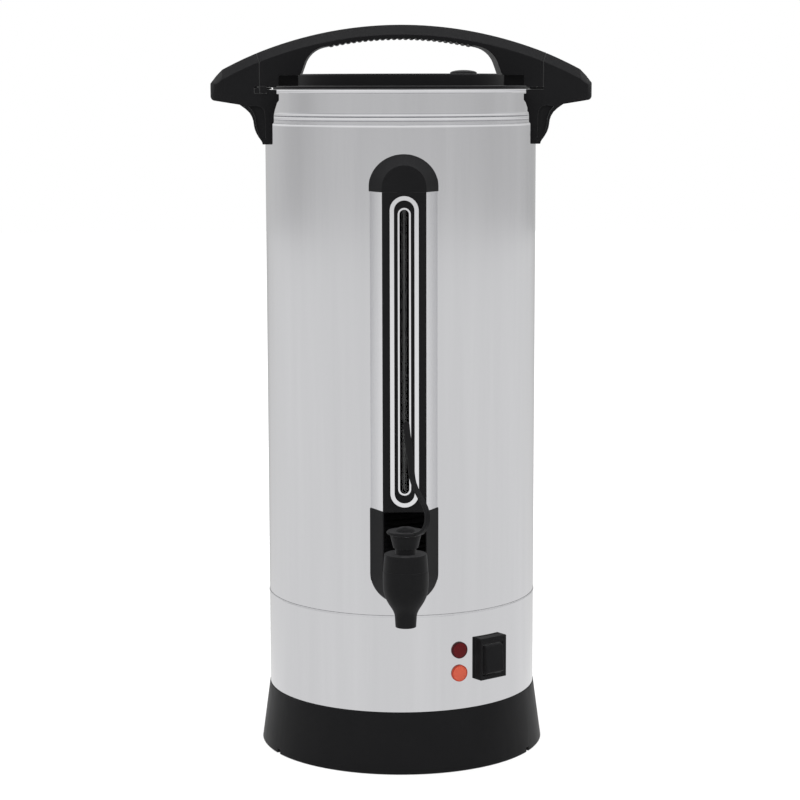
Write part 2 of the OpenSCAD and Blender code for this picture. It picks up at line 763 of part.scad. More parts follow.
module arch_handle() {
    screw_depth = 11;
    color(black) difference() {
        union() {
            intersection() {
                handle_blank(-turn_r, turn_r, foot_bottom, 40);
                cylinder(r = turn_in_r, h = arch_top + 1, $fn = 192);
            }
            for (a = [0, 180]) rotate([0, 0, a]) key();
        }
        finger_gap();
        translate([0, 0, foot_bottom - 1]) cylinder(r = flange_r + 2.6, h = flange_top - foot_bottom + 1);
        translate([0, 0, flange_top - 1]) cylinder(r = raised_r + slide_gap, h = lid_top - flange_top + 1);
        for (s = [-1, 1]) intersection() {
            translate([0, 0, foot_bottom - 1]) cylinder(r = cheek_in_r, h = lid_top - foot_bottom);
            translate([-cheek_in_r, s > 0 ? cheek_gap_w : -handle_half_w - 1, 0])
                cube([2 * cheek_in_r, handle_half_w + 1 - cheek_gap_w, arch_top]);
        }
        for (p = arch_screw_places) translate([p[0], p[1], flange_top - 1])
            cylinder(r = screw_r + fit, h = screw_depth, $fn = 32);
    }
}

// The locking key under the left front corner of the arch, and its twin at the right back
module key() {
    intersection() {
        ring(key_in_r, turn_in_r, foot_bottom - key_drop, foot_bottom + 1);
        translate([-turn_r, -handle_half_w, 0]) cube([turn_r, key_len, arch_top]);
    }
}

module arch_screws() {
    color(steel) for (p = arch_screw_places) translate([p[0], p[1], flange_z]) screw(11);
}

// Outline of a side handle seen from the front: the ear, its underside and the leg
ear_outline = concat(
    [[leg_in_x, arch_top], [ear_reach - 3, arch_top], [ear_reach - 3, ear_tip_z + 4.2]],
    arc([ear_reach - 5, ear_tip_z - 1.3], 5, 38, 0, 4),
    arc([ear_reach - 4, rim_z - 4.8], 4, 0, -90, 6),
    [for (p = [[18.5, 11.9], [14, 15.1], [10.7, 18.2], [8.8, 21.4], [7.8, 24.6], [7.4, 27.7], [6.8, 30.9],
               [5.7, 34], [4, 37.2], [2.2, 39.8], [1.1, 41.6], [0.8, 43.4]]) [body_r + p[0], rim_z - p[1]]],
    [[leg_in_x, rim_z - 43.4]]);

// Recess in the face of the leg
recess_outline = [
    for (p = [[-1.9, 38.5], [-1.4, 19], [-0.4, 15.5], [2, 13.4], [5.5, 12.6], [11.5, 13.2],
              [8, 17.5], [6.2, 22], [5.4, 29.5], [3.4, 35.5], [0.6, 38.9]]) [body_r + p[0], rim_z - p[1]]];

module side_handle() {
    leg_z = shoulder_z - 15.5;
    leg_taper = 5;
    recess = 3;
    shell = 3.5;
    stop_w = 6;
    stop_top = foot_bottom - 0.12;
    pocket_y = handle_half_w - key_len - 0.5;
    pocket_z = foot_bottom - key_drop - 0.4;
    difference() {
        intersection() {
            handle_blank(leg_in_x - 2, ear_reach, leg_z, 12);
            front_prism(ear_outline, -handle_half_w - 1, handle_half_w + 1);
            side_prism([[-handle_half_w + leg_taper, leg_z - 1], [handle_half_w - leg_taper, leg_z - 1],
                        [handle_half_w, leg_z + 12], [handle_half_w, arch_top], [-handle_half_w, arch_top],
                        [-handle_half_w, leg_z + 12]], leg_in_x - 6, ear_reach + 1);
            union() {
                translate([0, -handle_half_w, 0])
                    cube([ear_reach - ear_corner_r, 2 * handle_half_w, arch_top]);
                translate([0, -handle_half_w + ear_corner_r, 0])
                    cube([ear_reach, 2 * (handle_half_w - ear_corner_r), arch_top]);
                for (s = [-1, 1]) translate([ear_reach - ear_corner_r, s * (handle_half_w - ear_corner_r), 0])
                    cylinder(r = ear_corner_r, h = arch_top);
            }
        }
        // room for the arch's foot to turn in, past a stop in the middle, and for the tank, its rim and the lid
        difference() {
            translate([0, 0, bracket_top]) cylinder(r = turn_out_r, h = 60, $fn = 192);
            translate([leg_in_x, -stop_w / 2, bracket_top - 1])
                cube([key_in_r + 2 - leg_in_x, stop_w, stop_top - bracket_top + 1]);
        }
        rotate_extrude() polygon([
            [0, leg_z - 1], [body_r + fit, leg_z - 1], [body_r + fit, shoulder_z + 1],
            [body_r - 1.1, shoulder_z + 2.5],
            [body_r - 1.1, rim_z - 20.5], [body_r - 1.9, rim_z - 16.5], [neck_r + 3.1, rim_z - 10.6],
            [neck_r + 1.5, rim_z - 8.6], [neck_r + 1.5, rim_z - rim_h - 0.5],
            [rim_r + 0.3, rim_z - rim_h - 0.5],
            [rim_r + 0.3, rim_z + 0.2], [flange_r + 0.6, rim_z + 0.2], [flange_r + 0.6, rim_z + 5],
            [0, rim_z + 5]]);
        // pocket for the locking key, with a fixed stub that carries the key's line on past the seam
        difference() {
            intersection() {
                ring(key_in_r - 0.6, turn_out_r + key_stub + 0.6, pocket_z, foot_bottom + 1);
                translate([leg_in_x, pocket_y, 0]) cube([40, key_len + 1.5, arch_top]);
            }
            ring(turn_out_r, turn_out_r + key_stub, foot_bottom - key_drop, foot_bottom - 0.5);
        }
        for (s = [-1, 1]) front_prism(recess_outline, s > 0 ? handle_half_w - recess : -handle_half_w - 1,
                                      s > 0 ? handle_half_w + 1 : -handle_half_w + recess);
        // hollow under the ear for the fingertips
        front_prism([[ear_reach - 25, rim_z - 30], [ear_reach - 25, rim_z + 12.5],
            [ear_reach - 13, rim_z + 8.5],
                     [ear_reach - shell, rim_z], [ear_reach - shell, rim_z - 30]],
                    -handle_half_w + shell, handle_half_w - shell);
        for (t = [-1, 1]) rotate([0, 0, 90 + t * handle_screw_az]) translate([0, 0, handle_screw_z])
            y_rod(screw_r + fit, -body_r - 9, -body_r + 2, 32);
    }
}

module side_handle_right() { color(black) side_handle(); }

module side_handle_left() { color(black) rotate([0, 0, 180]) side_handle(); }

module handle_screws() {
    color(steel) for (s = [-1, 1], t = [-1, 1]) at_az(s * 90 + t * handle_screw_az)
        translate([0, -tank_in_r + 0.4, handle_screw_z]) rotate([90, 0, 0]) screw(8.5);
}

// ---------------------------------------------------------------- gauge

// Plan of the gauge column, with its sides moved in by an inset and its front at a distance from the axis
function column_plan(inset, front, half_base = guard_half_base) =
    let (base = half_base - inset * 1.2, edge = guard_half_front - inset * 0.7,
        side_y = -body_r + 3 + inset / 3)
    [[-base, -body_r + 12], [-base, side_y], [-edge, -front],
     [edge, -front], [base, side_y], [base, -body_r + 12]];

// Round-ended upright ring, drawn in X and Z and standing out along -Y
module race_ring(half_w, band, z0, z1, y_back, t) {
    difference() {
        race(half_w, z0, z1, y_back - t, y_back);
        race(half_w - band, z0 + band, z1 - band, y_back - t - 1, y_back + 1);
    }
}

module race(half_w, z0, z1, y0, y1) {
    translate([-half_w, y0, z0 + half_w]) cube([2 * half_w, y1 - y0, z1 - z0 - 2 * half_w]);
    for (z = [z0 + half_w, z1 - half_w]) translate([0, 0, z]) y_rod(half_w, y0, y1, 64);
}

module gauge_guard() {
    color(steel) difference() {
        translate([0, 0, guard_z]) linear_extrude(height = guard_l) polygon(column_plan(0, guard_front));
        translate([0, 0, guard_z - 1]) linear_extrude(height = guard_l + 2)
            polygon(column_plan(sheet, guard_front - sheet));
        tank_room();
        channel_block(fit, -guard_front - 1, -guard_front + sheet + 1);
    }
}

// Outline of the black channel behind the slot, made a solid between y0 and y1
module channel_block(grow, y0, y1) {
    translate([-channel_half - grow, y0, guard_z + channel_margin - grow])
        cube([2 * (channel_half + grow), y1 - y0, guard_l - 2 * (channel_margin - grow)]);
}

// Front panel, with the channel that shields the sight glass moulded on its back
module gauge_panel() {
    channel_back = -body_r - 0.25;
    color(black) difference() {
        union() {
            translate([-guard_half_front, -column_front, guard_z])
                cube([2 * guard_half_front, panel_t, guard_l]);
            channel_block(0, -column_front + 0.5, channel_back);
        }
        race(slot_half_w, trim_z0 + trim_band, trim_z1 - trim_band, -column_front - 1, -guard_front + 1);
        translate([-channel_half + channel_wall, -guard_front, guard_z - 1])
            cube([2 * (channel_half - channel_wall), channel_back + guard_front - channel_wall, guard_l + 2]);
    }
}

module gauge_ring() {
    color(bright) race_ring(ring_half_w, ring_band, ring_z0, ring_z1, -column_front, ring_t);
}

module slot_trim() {
    color(bright) race_ring(trim_half_w, trim_band, trim_z0, trim_z1, -column_front, ring_t);
}

module sight_glass() {
    color("lightcyan", 0.5) translate([0, -glass_y, 0])
        ring(glass_r - glass_wall, glass_r, glass_bottom, glass_top);
}

// Half-round end of the gauge column, its round side up
module column_end(inset) {
    intersection() {
        y_cone(guard_half_front - inset * 0.7, end_half_base - inset, -column_front + inset, -body_r + 3);
        translate([-40, -column_front - 1, 0]) cube([80, 40, 40]);
    }
    intersection() {
        y_rod(end_half_base - inset, -body_r + 3, -body_r + 12);
        translate([-40, -body_r, 0]) cube([80, 40, 40]);
    }
}

// Straight stretch of the column's plastic ends, a little wider at the tank than the guard
module column_block(z0, z1, inset, front) {
    translate([0, 0, z0]) linear_extrude(height = z1 - z0) polygon(column_plan(inset, front, end_half_base));
}

// Straight stretch and round end together, from z0 up round a centre at cap_cz
module column_cap(z0, inset) {
    union() {
        column_block(z0, cap_cz, inset, column_front - inset);
        translate([0, 0, cap_cz]) column_end(inset);
    }
}

module gauge_cap() {
    wall = 2.2;
    color(black) difference() {
        union() {
            difference() {
                column_cap(guard_top, 0);
                column_cap(guard_top - 1, wall);
            }
            intersection() {
                translate([0, -glass_y, guard_top]) cylinder(r = glass_r + 3.5, h = 20);
                column_cap(guard_top, 0.5);
            }
        }
        tank_room();
        translate([0, -glass_y, guard_top - 1])
            cylinder(r = glass_r + fit, h = glass_top - guard_top + 1 + fit, $fn = 64);
    }
}

module glass_seals() {
    seal_h = 3;
    color(grey_rubber) for (z = [guard_top - seal_h - fit, glass_seal_z])
        translate([0, -glass_y, 0]) ring(glass_r + fit, port_r, z, z + seal_h);
}

module tap_bracket() {
    wall = 2.2;
    recess_half = guard_half_front - 1.2;
    recess_top = guard_z - 1;
    color(black) difference() {
        union() {
            column_block(bracket_cz, guard_z, 0, column_front);
            translate([0, 0, bracket_cz]) mirror([0, 0, 1]) column_end(0);
        }
        column_block(bracket_cz, guard_z + 1, wall, guard_front - 2.3);
        translate([0, 0, bracket_cz + eps]) mirror([0, 0, 1]) column_end(wall);
        tank_room();
        translate([-recess_half, -column_front - 1, recess_top - 30]) cube([2 * recess_half, 3, 30]);
        translate([0, 0, shank_z]) y_rod(tap_neck_r + 0.4, -column_front - 1, -body_r);
    }
}

// ---------------------------------------------------------------- tap

module shank_fitting() {
    color(bright) difference() {
        union() {
            translate([0, 0, shank_z]) y_rod(shank_r, -tap_reach + 24, -inner_face + washer_t + nut_h + 3);
            translate([0, 0, shank_z]) y_rod(fitting_r, -fitting_front, -body_r - washer_t);
            difference() {
                translate([0, -glass_y, shank_z]) cylinder(r = port_r, h = 33, $fn = 64);
                translate([-port_r, -body_r - washer_t, shank_z]) cube([2 * port_r, 3, fitting_r + 2 * fit]);
            }
        }
        translate([0, 0, shank_z]) y_rod(shank_r - 2.5, -tap_reach, -60);
        translate([0, -glass_y, shank_z]) cylinder(r = glass_r - 1.5, h = 40, $fn = 48);
        translate([0, -glass_y, glass_bottom - fit]) cylinder(r = glass_r + fit, h = 40, $fn = 64);
    }
}

module shank_washers() {
    washer_r = fitting_r;
    color(grey_rubber) difference() {
        union() {
            difference() {
                translate([0, 0, shank_z]) y_rod(washer_r, -body_r - washer_t, -body_r + 4);
                cylinder(r = body_r, h = guard_z, $fn = 192);
            }
            intersection() {
                translate([0, 0, shank_z]) y_rod(washer_r, -body_r, -inner_face + washer_t);
                cylinder(r = tank_in_r, h = guard_z, $fn = 192);
            }
        }
        translate([0, 0, shank_z]) y_rod(shank_r + fit, -body_r - 10, -60);
    }
}

module shank_nut() {
    color(steel) difference() {
        translate([0, -inner_face + washer_t, shank_z]) rotate([-90, 0, 0])
            cylinder(r = shank_r + 5.5, h = nut_h, $fn = 6);
        translate([0, 0, shank_z]) y_rod(shank_r + fit, -body_r, -60);
    }
}

module tap_body() {
    outside = concat(
        [[spout_r, spout_z]], curve([[spout_r + 0.5, spout_z + 8.7], [spout_r + 1.6, spout_z + 16.4],
        [tap_r, spout_z + 19], [tap_r, spout_z + 34]], 10), [[tap_r, collar_z - 2], [tap_r - 0.5, collar_z]]);
    color(black) difference() {
        union() {
            translate([0, -tap_reach, 0]) rotate_extrude() polygon(concat(
                [[0, spout_z]], outside, [[tap_spigot_r, collar_z], [tap_spigot_r, collar_z + tap_spigot_h],
                [0, collar_z + tap_spigot_h]]));
            translate([0, 0, shank_z]) y_rod(tap_neck_r, -tap_reach + 5, -glass_y - port_r - fit);
            translate([0, 0, shank_z]) y_rod(tap_neck_r + 1.9, -tap_reach + 12, -column_front - 3.5);
        }
        translate([0, -tap_reach, spout_z - 1]) cylinder(r = spout_bore_r, h = 30, $fn = 64);
        translate([0, -tap_reach, seat_z]) cylinder(r = chamber_r, h = 60, $fn = 64);
        translate([0, 0, shank_z]) y_rod(shank_r - 2.5, -tap_reach, -60);
        translate([0, 0, shank_z]) y_rod(shank_r + fit, -tap_reach + 23, -60);
    }
}

module tap_bonnet() {
    neck_boss_r = 8;
    color(black) translate([0, -tap_reach, 0]) difference() {
        rotate_extrude() polygon([
            [0, collar_top - 4], [tap_spigot_r + fit, collar_top - 4], [tap_spigot_r + fit, collar_z],
            [collar_r, collar_z], [collar_r - 1, collar_top - 0.5], [collar_r - 1.5, collar_top],
            [neck_boss_r, collar_top], [neck_boss_r, bowl_z], [bowl_r1, bowl_z], [bowl_r2, bowl_top],
            [bowl_r2 - bowl_wall, bowl_top], [bowl_r1 - bowl_wall, bowl_z + 2], [0, bowl_z + 2]]);
        translate([0, 0, collar_top - 10]) cylinder(r = valve_rod_r + pin_gap, h = 30, $fn = 48);
    }
}

// The stem has a flat tongue at its top, with a slot that lets the lever's pin swing
module valve_stem() {
    tongue_top = lever_pin_z + 2.2;
    slot_half = 0.7;
    color(bright) translate([0, -tap_reach, 0]) difference() {
        union() {
            translate([0, 0, seat_z + 5]) cylinder(r = valve_rod_r, h = bowl_z - seat_z - 5, $fn = 48);
            intersection() {
                translate([0, 0, bowl_z - 1])
                    cylinder(r = valve_rod_r, h = tongue_top - bowl_z + 1, $fn = 48);
                at_az(lever_az) translate([-valve_tip_r, -10, bowl_z - 1]) cube([2 * valve_tip_r, 20, 30]);
            }
        }
        at_az(lever_az) translate([0, 0, lever_pin_z]) {
            for (u = [-slot_half, slot_half]) translate([0, u, 0]) rotate([0, 90, 0])
                cylinder(r = lever_pin_r + 0.15, h = 10, center = true, $fn = 32);
            translate([-5, -slot_half, -lever_pin_r - 0.15]) cube([10, 2 * slot_half, 2 * lever_pin_r + 0.3]);
        }
    }
}

module seat_cup() {
    cup_r = spout_bore_r + 2.5;
    color(grey_rubber) translate([0, -tap_reach, 0]) rotate_extrude($fn = 64) polygon([
        [0, seat_z + fit], [cup_r, seat_z + fit], [cup_r, seat_z + 3], [valve_rod_r + 2, seat_z + 6],
        [valve_rod_r + 2, seat_z + 10], [valve_rod_r + fit, seat_z + 10],
        [valve_rod_r + fit, seat_z + 5 - fit],
        [0, seat_z + 5 - fit]]);
}

// The lever's middle line in its own plane: distance out from the tap's axis and height over the cup
function lever_points() = [for (p = concat(
    curve([[9, 2], [19, 2], [27, 8.5], [26.5, 18.6]], 8),
    curve([[26.5, 18.6], [26, 26], [14.5, 32.5], [9.9, 41]], 7, 1),
    curve([[9.9, 41], [7.5, 45.5], [6.6, 54], [5.3, 61.3]], 7, 1),
    curve([[5.3, 61.3], [3.8, 70], [1.4, 80], [0.8, 87]], 6, 1))) [p[0], bowl_top + p[1]]];

module tap_lever() {
    paddle_t = 2.2;
    paddle_z = bowl_top + 38;
    tip_z = bowl_top + 88;
    dome_r = 7.6;
    dome_h = 3;
    half_front = [[lever_w / 2, bowl_top - 5], [lever_w / 2, paddle_z], [paddle_w / 2, paddle_z + 14],
                  [paddle_w / 2, tip_z - 3], [paddle_w / 2 - 0.6, tip_z - 1.2], [paddle_w / 2 - 1.6, tip_z]];
    color(black) translate([0, -tap_reach, 0]) at_az(lever_az) difference() {
        union() {
            rotate_extrude() polygon(concat(
                [[0, lever_foot_z], [bowl_r2 - 0.3, lever_foot_z], [bowl_r2 - 0.3, lever_disc_z],
                 [lever_disc_r - 0.4, lever_disc_z], [lever_disc_r, lever_disc_z + 0.6],
                 [lever_disc_r - 0.5, lever_disc_z + lever_disc_t], [dome_r, lever_disc_z + lever_disc_t]],
                [for (i = [0:6])
                    [dome_r * cos(i * 15), lever_disc_z + lever_disc_t + 0.2 + dome_h * sin(i * 15)]]));
            intersection() {
                rotate([90, 0, -90]) translate([0, 0, -paddle_w]) linear_extrude(height = 2 * paddle_w)
                    polygon(strip(lever_points(), lever_t, paddle_t));
                front_prism(concat(half_front,
                    [for (i = [len(half_front) - 1:-1:0]) [-half_front[i][0], half_front[i][1]]]), -40, 20);
            }
            for (s = [-1, 1])
                translate([s * (valve_tip_r + slide_gap + lug_t / 2) - lug_t / 2, -2.5, lever_pin_z - 2])
                cube([lug_t, 5, lever_disc_z - lever_pin_z + 2]);
        }
        translate([0, 0, lever_pin_z]) rotate([0, 90, 0])
            cylinder(r = lever_pin_r + fit / 10, h = 20, center = true, $fn = 32);
    }
}

module lever_pin() {
    half = valve_tip_r + slide_gap + lug_t;
    color(steel) translate([0, -tap_reach, lever_pin_z]) at_az(lever_az)
        rotate([0, 90, 0]) cylinder(r = lever_pin_r, h = 2 * half, center = true, $fn = 32);
}

// ---------------------------------------------------------------- lid

module lid() {
    color(black) difference() {
        rotate_extrude($fn = 192) polygon([
            [raised_r - lid_wall, flange_z], [flange_r - 0.4, flange_z], [flange_r, flange_z + 0.5],
            [flange_r - 0.3, flange_top - 0.4], [flange_r - 0.9, flange_top], [raised_r, flange_top],
            [raised_r, lid_top - 1], [raised_r - 1, lid_top], [0, lid_top],
            [0, lid_top - lid_wall], [raised_r - lid_wall, lid_top - lid_wall]]);
        translate([vent_x, vent_y, lid_top - 10]) cylinder(r = vent_bore_r, h = 20, $fn = 48);
        for (p = arch_screw_places) translate([p[0], p[1], flange_z - 1])
            cylinder(r = screw_r + fit, h = 10, $fn = 32);
    }
}

module lid_liner() {
    bottom = flange_z - liner_drop;
    color(steel) difference() {
        rotate_extrude() polygon([
            [0, bottom], [liner_r, bottom], [liner_r, flange_z], [liner_r - liner_lip, flange_z],
            [liner_r - liner_lip, flange_z - sheet], [liner_r - sheet, flange_z - sheet],
            [liner_r - sheet, bottom + sheet],
            [0, bottom + sheet]]);
        translate([vent_x, vent_y, bottom - 1]) cylinder(r = vent_bore_r, h = 5, $fn = 48);
    }
}

module lid_seal() {
    color(grey_rubber) rotate_extrude() polygon([
        [seal_in_r, rim_z - 7], [neck_in_r - slide_gap - 0.6, rim_z - 7], [neck_in_r - slide_gap, rim_z - 6],
        [neck_in_r - slide_gap, rim_z], [flange_r - 0.6, rim_z], [flange_r - 0.6, flange_z],
        [seal_in_r, flange_z]]);
}

module vent_cap() {
    cap_h = 2.9;
    color(black) translate([vent_x, vent_y, lid_top]) difference() {
        rotate_extrude($fn = 64) polygon(concat(
            [[0, -6], [vent_bore_r - fit, -6], [vent_bore_r - fit, 0], [vent_r, 0]],
            [for (i = [0:8]) [vent_r * cos(i * 90 / 8), 0.6 + (cap_h - 0.6) * sin(i * 90 / 8)]]));
        for (a = [0, 90]) rotate([0, 0, a]) translate([-vent_bore_r - 1, -0.7, -7])
            cube([2 * vent_bore_r + 2, 1.4, 6.4]);
    }
}

// ---------------------------------------------------------------- percolator

module pump_stem() {
    foot_z = well_z + 0.2;
    bell_wall = 1;
    seat = foot_z + valve_seat_h;
    cage = seat + valve_disc_t + valve_travel;
    function bell_r(z) = pump_foot_r + (stem_r - pump_foot_r) * (z - foot_z) / pump_foot_h;
    color(bright) difference() {
        union() {
            rotate_extrude() polygon([
                [pump_foot_r, foot_z], [stem_r, foot_z + pump_foot_h], [stem_r, stem_top],
                [stem_r - stem_wall, stem_top],
                [stem_r - stem_wall, foot_z + pump_foot_h], [pump_foot_r - bell_wall - 0.4, foot_z]]);
            ring(valve_disc_r - 3, bell_r(seat) - bell_wall / 2, seat - 1, seat);
            ring(valve_disc_r - 2, bell_r(cage + 1) - bell_wall / 2, cage, cage + 1);
            ring(stem_r - stem_wall / 2, stem_r + 4, basket_z - stop_h, basket_z);
        }
        for (a = [0:45:315]) rotate([0, 0, a]) translate([0, 0, foot_z - 1]) rotate([-90, 0, 0])
            cylinder(r = 3, h = pump_foot_r + 2, $fn = 32);
    }
}

module pump_valve() {
    color(bright) translate([0, 0, well_z + 0.2 + valve_seat_h]) cylinder(r = valve_disc_r, h = valve_disc_t);
}

// Rings of small holes in a flat disc
module perforations(ring_r, per_ring, z0, h) {
    for (i = [0:len(ring_r) - 1]) for (j = [0:per_ring[i] - 1])
        rotate([0, 0, (j + i / 2) * 360 / per_ring[i]]) translate([ring_r[i], 0, z0])
            cylinder(r = hole_r, h = h, $fn = 24);
}

module basket() {
    color(steel) difference() {
        union() {
            rotate_extrude() polygon(concat(
                [[sleeve_r - basket_wall, basket_z], [basket_r - 3, basket_z]],
                arc([basket_r - 3, basket_z + 3], 3, -90, 0, 6),
                [[basket_r, basket_top - 2], [basket_r + 2, basket_top - 2], [basket_r + 2, basket_top],
                 [basket_r - basket_wall, basket_top], [basket_r - basket_wall, basket_z + 3],
                 [basket_r - 3, basket_z + basket_wall], [sleeve_r, basket_z + basket_wall],
                 [sleeve_r, basket_top - 3], [sleeve_r - basket_wall, basket_top - 3]]));
        }
        perforations(hole_rings, hole_counts, basket_z - 1, basket_wall + 2);
    }
}

module basket_cover() {
    dish = 3;
    color(steel) difference() {
        rotate_extrude() polygon([
            [stem_r + 1.2, basket_top + 4], [stem_r + 1.2, basket_top - 1], [stem_r + 2, basket_top - 1],
            [sleeve_r + 3, basket_top - 1], [basket_r - 6, basket_top - 1], [basket_r - 3, basket_top],
            [basket_r + 2, basket_top], [basket_r + 2, basket_top + dish],
            [basket_r + 1.2, basket_top + dish],
            [basket_r + 1.2, basket_top + basket_wall], [basket_r - 3.4, basket_top + basket_wall],
            [basket_r - 6.4, basket_top - 0.2], [stem_r + 2, basket_top - 0.2],
            [stem_r + 2, basket_top + 4]]);
        perforations(hole_rings, hole_counts, basket_top - 2, 4);
    }
}

base_skirt();
bottom_plate();
rubber_feet();
bottom_screws();
lower_band();
heat_plate();
heater_ring();
thermostat();
thermal_cutout();
terminal_block();
switch_housing();
switch_rocker();
red_lamp();
amber_lamp();
lamp_holders();
power_inlet();
inlet_pins();
inlet_screws();
tank_shell();
tank_floor();
side_handle_left();
side_handle_right();
handle_screws();
gauge_guard();
gauge_panel();
gauge_ring();
slot_trim();
sight_glass();
gauge_cap();
glass_seals();
tap_bracket();
shank_fitting();
shank_washers();
shank_nut();
tap_body();
tap_bonnet();
valve_stem();
seat_cup();
tap_lever();
lever_pin();
lid();
lid_liner();
lid_seal();
arch_handle();
arch_screws();
vent_cap();
pump_stem();
pump_valve();
basket();
basket_cover();
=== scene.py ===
# %% [markdown]
# # A steel coffee urn
# The real urn is a tall drum of stainless sheet on a black moulded base, with a tap and a sight gauge
# down its front and a black arched handle over its lid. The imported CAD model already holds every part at
# its true size, so this lesson gives each part its finish and models by hand what a finish alone can't
# show. Everything is in metres. The urn stands on z = 0, its axis is the Z axis and its front faces -Y.

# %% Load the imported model
import json
import math

import bpy
from mathutils import Matrix, Vector
from mathutils.bvhtree import BVHTree

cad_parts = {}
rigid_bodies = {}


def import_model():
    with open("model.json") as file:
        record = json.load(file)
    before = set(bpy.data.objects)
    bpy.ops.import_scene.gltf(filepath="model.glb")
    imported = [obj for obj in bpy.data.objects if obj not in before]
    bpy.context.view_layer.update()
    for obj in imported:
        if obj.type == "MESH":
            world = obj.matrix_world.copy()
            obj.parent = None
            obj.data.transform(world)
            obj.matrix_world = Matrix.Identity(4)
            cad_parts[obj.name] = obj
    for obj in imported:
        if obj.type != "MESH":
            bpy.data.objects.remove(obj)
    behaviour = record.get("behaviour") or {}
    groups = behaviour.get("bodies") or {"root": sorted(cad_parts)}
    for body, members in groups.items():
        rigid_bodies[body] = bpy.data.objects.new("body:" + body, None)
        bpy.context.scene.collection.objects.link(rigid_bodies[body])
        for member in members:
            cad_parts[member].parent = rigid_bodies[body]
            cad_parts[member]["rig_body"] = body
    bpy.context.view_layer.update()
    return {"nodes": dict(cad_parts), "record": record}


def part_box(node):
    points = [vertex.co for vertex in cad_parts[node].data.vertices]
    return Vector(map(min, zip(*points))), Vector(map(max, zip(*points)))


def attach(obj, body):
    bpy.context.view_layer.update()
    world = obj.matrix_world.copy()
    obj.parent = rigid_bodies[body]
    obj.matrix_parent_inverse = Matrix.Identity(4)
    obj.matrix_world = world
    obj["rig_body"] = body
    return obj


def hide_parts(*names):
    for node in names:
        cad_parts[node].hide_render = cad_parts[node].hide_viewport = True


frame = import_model()
nodes = frame["nodes"]
record = frame["record"]
MM = 0.001

# %% [markdown]
# ## The camera
# The photograph was taken from a little below the top of the urn, looking slightly down, from almost two
# metres away. Its place was worked out from the curve of the rim, the seam and the base. The gauge stands
# 1.2 degrees to the right of the middle, so the camera goes round to the left by that much.

# %% Put the camera where the photographer stood
CAMERA_AT = (-0.0383, -1.8279, 0.5441)
TURNED_RIGHT = math.radians(1.172)
TILTED_UP = math.radians(81.91)  # from looking straight down, so 90 degrees is level
ROLLED = -0.0021
lens = bpy.data.cameras.new("photo_lens")
lens.sensor_width = 36.0
lens.lens = 100.31
camera = bpy.data.objects.new("photo_camera", lens)
bpy.context.scene.collection.objects.link(camera)
aim = Matrix.Rotation(-TURNED_RIGHT, 4, "Z") @ Matrix.Rotation(TILTED_UP, 4, "X")
camera.matrix_world = Matrix.Translation(CAMERA_AT) @ aim @ Matrix.Rotation(ROLLED, 4, "Z")
bpy.context.scene.camera = camera
print("camera at", [round(v, 3) for v in camera.location])

# %% [markdown]
# ## Two small helpers for materials
# Colours are written as the eye reads them, in sRGB hex, and one function turns them to the linear
# numbers that a renderer mixes. A second function adds one shader node with its settings and its links,
# so that each material below reads as a short recipe. A ramp's first two stops are its own two ends, and
# the rest are new.

# %% Helpers: colour and nodes
def linear(hex_colour):
    parts = [int(hex_colour[i:i + 2], 16) / 255 for i in (1, 3, 5)]
    return [p / 12.92 if p <= 0.04045 else ((p + 0.055) / 1.055) ** 2.4 for p in parts] + [1.0]


def add(tree, kind, links=None, stops=(), **settings):
    node = tree.nodes.new(kind)
    for name, value in settings.items():
        setattr(node, name, value)
    for spot, (place, grey) in enumerate(stops):
        elements = node.color_ramp.elements
        stop = elements[spot] if spot < 2 else elements.new(place)
        stop.position = place
        stop.color = (grey, grey, grey, 1)
    for socket, value in (links or {}).items():
        if isinstance(value, bpy.types.NodeSocket):
            tree.links.new(value, node.inputs[socket])
        else:
            node.inputs[socket].default_value = value
    return node


# A Mix node has inputs of every kind, several under the same name, so they are given by number
MIX_BY, NUMBER_A, NUMBER_B, COLOUR_A, COLOUR_B = 0, 2, 3, 6, 7
NUMBER_OUT, COLOUR_OUT = 0, 2
print("a mid grey #808080 is", round(linear("#808080")[0], 3), "in linear light")

# %% [markdown]
# ## The room: a white sweep and soft light
# The photograph is a studio shot on pure white. What the camera sees directly is white, at strength 1.
# What the steel mirrors is the same white room, but a real one isn't even: the floor in front is
# brightest and the far wall at eye level is greyer, which is why the urn's upper half looks darker than
# its lower half. A picture of a room could do this too, but two ramps are smooth, small and easy to
# correct.

# %% How bright each side of the room is
FLOOR_R = 6.5
# Round the room, from the back (0) by the left, front and right to the back again (1)
WALLS = ((0.0, 0.64), (1.0, 0.64), (0.1, 0.96), (0.16, 0.95), (0.23, 0.85), (0.33, 1.0), (0.5, 0.98),
         (0.62, 0.97), (0.72, 0.91), (0.83, 0.95), (0.9, 0.78))
# Up the walls, from just under the skyline (0) to nearly overhead (1)
HEIGHTS = ((0.0, 0.78), (1.0, 1.2), (0.36, 0.77), (0.48, 1.15))
WALL_FOOT, WALL_TOP = -0.2, 0.8
# On the floor, from straight in front (0) to straight behind (1)
FLOOR_SIDES = ((0.0, 1.0), (1.0, 0.45), (0.62, 1.0), (0.74, 0.92), (0.82, 0.81), (0.89, 0.62))
# The light that the room throws on the urn, from the skyline and from above
AT_SKYLINE, FROM_ABOVE = 0.42, 0.85
WHITE = (1, 1, 1, 1)
print("ramps with", len(WALLS), len(HEIGHTS), len(FLOOR_SIDES), "stops")

